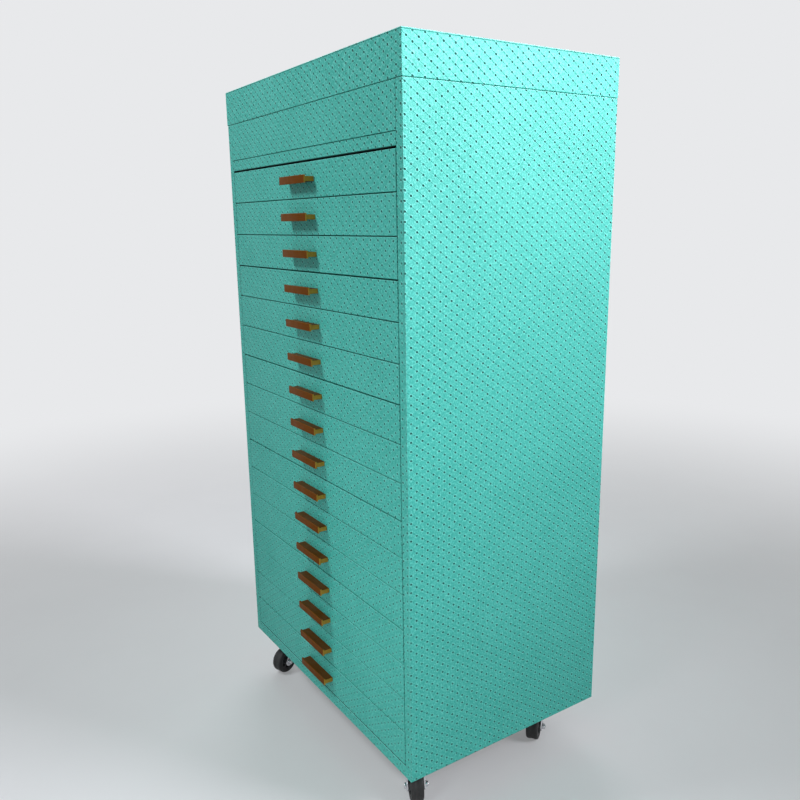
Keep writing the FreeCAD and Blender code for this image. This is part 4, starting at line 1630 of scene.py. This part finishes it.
# ---------------------------------------------------------------- surroundings
@dataclass(frozen=True)
class Lamp:
    """A square soft lamp."""

    name: str
    place: Triple
    target: Triple
    size: float
    power: float  # in watts
    spread: float = 180.0  # width of its beam in degrees
    colour: Triple = CLEAR_SKY

    def hang(self) -> None:
        """Adds the lamp at its place, pointed at its target."""
        light = bpy.data.lights.new(self.name, "AREA")
        light.shape = "SQUARE"
        light.size = self.size
        light.energy = self.power
        light.spread = math.radians(self.spread)
        light.color = self.colour
        lamp = bpy.data.objects.new(self.name, light)
        lamp.location = self.place
        beam = Vector(self.target) - Vector(self.place)
        lamp.rotation_euler = beam.to_track_quat("-Z", "Y").to_euler()
        bpy.context.scene.collection.objects.link(lamp)


@dataclass
class Studio:
    """Pale floor, pale surroundings, soft lamps and the camera."""

    background: Screen = (232, 233, 235)
    floor_colour: Screen = (226, 227, 228)
    floor_mottle: Screen = (184, 186, 188)
    floor_radius: float = 30.0
    floor_sides: int = 96
    floor_rough: float = 0.55
    clear_radius: tuple[float, float] = (0.8, 3.0)  # between these the floor fades into the background
    near_glow: float = 0.25  # share of the background colour in the floor round the cabinet
    ambient: float = 0.15  # how brightly the world lights, beside how bright it looks
    lamps: tuple[Lamp, ...] = (
        Lamp("key_lamp", (2.3, 1.7, 2.1), (0.3, -0.05, 1.52), 1.2, 23.6, 71.0, WINDOW_LIGHT),
        Lamp("high_lamp", (2.1, 1.5, 2.3), (0.3, -0.05, 1.9), 1.0, 18.0, 64.0, WINDOW_LIGHT),
        Lamp("front_lamp", (-0.6, -1.6, 2.4), (0.5, -0.2, 0.9), 0.6, 12.3, 110.0),
        Lamp("fill_lamp", (0.6, -1.45, 0.75), (0.32, -0.2, 0.35), 0.4, 0.65, 60.0),
        Lamp("back_lamp", (-2.7, 1.7, 2.3), (0.0, 0.0, 0.7), 2.0, 38.0),
    )
    camera_place: Vector = Vector((1.1970, -0.7965, 0.9420))
    camera_right: Vector = Vector((0.5515, 0.8340, -0.0151))
    camera_up: Vector = Vector((-0.1764, 0.1343, 0.9751))
    lens: float = 35.343
    sensor: float = 36.0
    sight: tuple[float, float] = (0.05, 200.0)  # nearest and farthest that the camera sees

    def build(self) -> None:
        """Makes everything round the cabinet."""
        self.set_world()
        self.lay_floor()
        for lamp in self.lamps:
            lamp.hang()
        self.set_camera()
        bpy.context.scene.view_settings.view_transform = "Standard"

    def seen_directly(self, graph: Graph) -> Socket:
        """Mask of the rays that show the background: from the camera, a reflection or glass.

        Args:
            graph: The node tree that needs it.

        Returns:
            The output socket.
        """
        path = graph.add("ShaderNodeLightPath")
        seen = graph.plus(path.outputs["Is Camera Ray"], path.outputs["Is Glossy Ray"])
        return graph.math("ADD", seen, path.outputs["Is Transmission Ray"], clamp=True)

    def set_world(self) -> None:
        """An even pale world that lights less than it shows."""
        world = bpy.data.worlds.new("pale_room")
        world.use_nodes = True
        world.node_tree.nodes.clear()
        bpy.context.scene.world = world
        graph = Graph(world.node_tree)
        shown = graph.add("ShaderNodeBackground", linear(self.background))
        lighting = graph.add("ShaderNodeBackground", linear((255, 255, 255)), self.ambient)
        seen = self.seen_directly(graph)
        mix = graph.add("ShaderNodeMixShader", seen, lighting.outputs[0], shown.outputs[0])
        graph.add("ShaderNodeOutputWorld", mix.outputs[0])

    def lay_floor(self) -> None:
        """A round pale floor that fades into the background and is clear from below."""
        deselect_all()
        bpy.ops.mesh.primitive_circle_add(
            vertices=self.floor_sides, radius=self.floor_radius, fill_type="NGON"
        )
        floor = begin_piece("floor")
        draft = Draft("pale_floor")
        distance = draft.vector("LENGTH", draft.point)
        far = draft.fade(distance, *self.clear_radius, self.near_glow, 1.0)
        mottle = draft.fade(draft.noise(draft.point, 2.5, 5.0, 0.6), 0.35, 0.7, 0.0, 0.10)
        colour = draft.layered(self.floor_colour, (mottle, self.floor_mottle))
        draft.fill(draft.shader, base_color=colour, roughness=self.floor_rough)
        matt = draft.shader.outputs["BSDF"]
        glow = draft.add("ShaderNodeEmission", linear(self.background)).outputs[0]
        shine = draft.times(far, self.seen_directly(draft))
        fading = draft.add("ShaderNodeMixShader", shine, matt, glow).outputs[0]
        below = draft.add("ShaderNodeNewGeometry").outputs["Backfacing"]
        clear = draft.add("ShaderNodeBsdfTransparent").outputs[0]
        mix = draft.add("ShaderNodeMixShader", below, fading, clear)
        draft.fill(draft.output, surface=mix.outputs[0])
        floor.data.materials.append(draft.material)

    def set_camera(self) -> None:
        """The camera at eye height, looking down a little at the cabinet's near corner."""
        data = bpy.data.cameras.new("camera")
        data.lens = self.lens
        data.sensor_width = self.sensor
        data.clip_start, data.clip_end = self.sight
        camera = bpy.data.objects.new("camera", data)
        right = self.camera_right.normalized()
        back = right.cross(self.camera_up).normalized()
        upward = back.cross(right)
        axes = Matrix((right, upward, back)).transposed().to_4x4()
        camera.matrix_world = Matrix.Translation(self.camera_place) @ axes
        bpy.context.scene.collection.objects.link(camera)
        bpy.context.scene.camera = camera


def clear_scene() -> None:
    """Removes whatever the file started with."""
    for item in list(bpy.data.objects):
        bpy.data.objects.remove(item)


def main() -> None:
    """Builds the cabinet's looks round its frame."""
    logging.basicConfig(level=logging.INFO, format="%(message)s")
    clear_scene()
    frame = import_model()
    nodes = frame["nodes"]
    joints = {joint["name"]: joint for joint in frame["joints"]}
    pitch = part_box("drawer_02")[0].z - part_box("drawer_03")[0].z
    bank_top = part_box("drawer_01")[0].z + pitch
    materials = make_materials(pitch, bank_top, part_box("compartment_front")[0].z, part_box("lid")[1].z)
    for assembly in (
        Carcass(materials, nodes),
        Lid(materials, nodes),
        DrawerBank(materials, nodes),
        CasterSet(materials, nodes, joints),
        Studio(),
    ):
        assembly.build()
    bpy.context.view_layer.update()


if __name__ == "__main__":
    main()
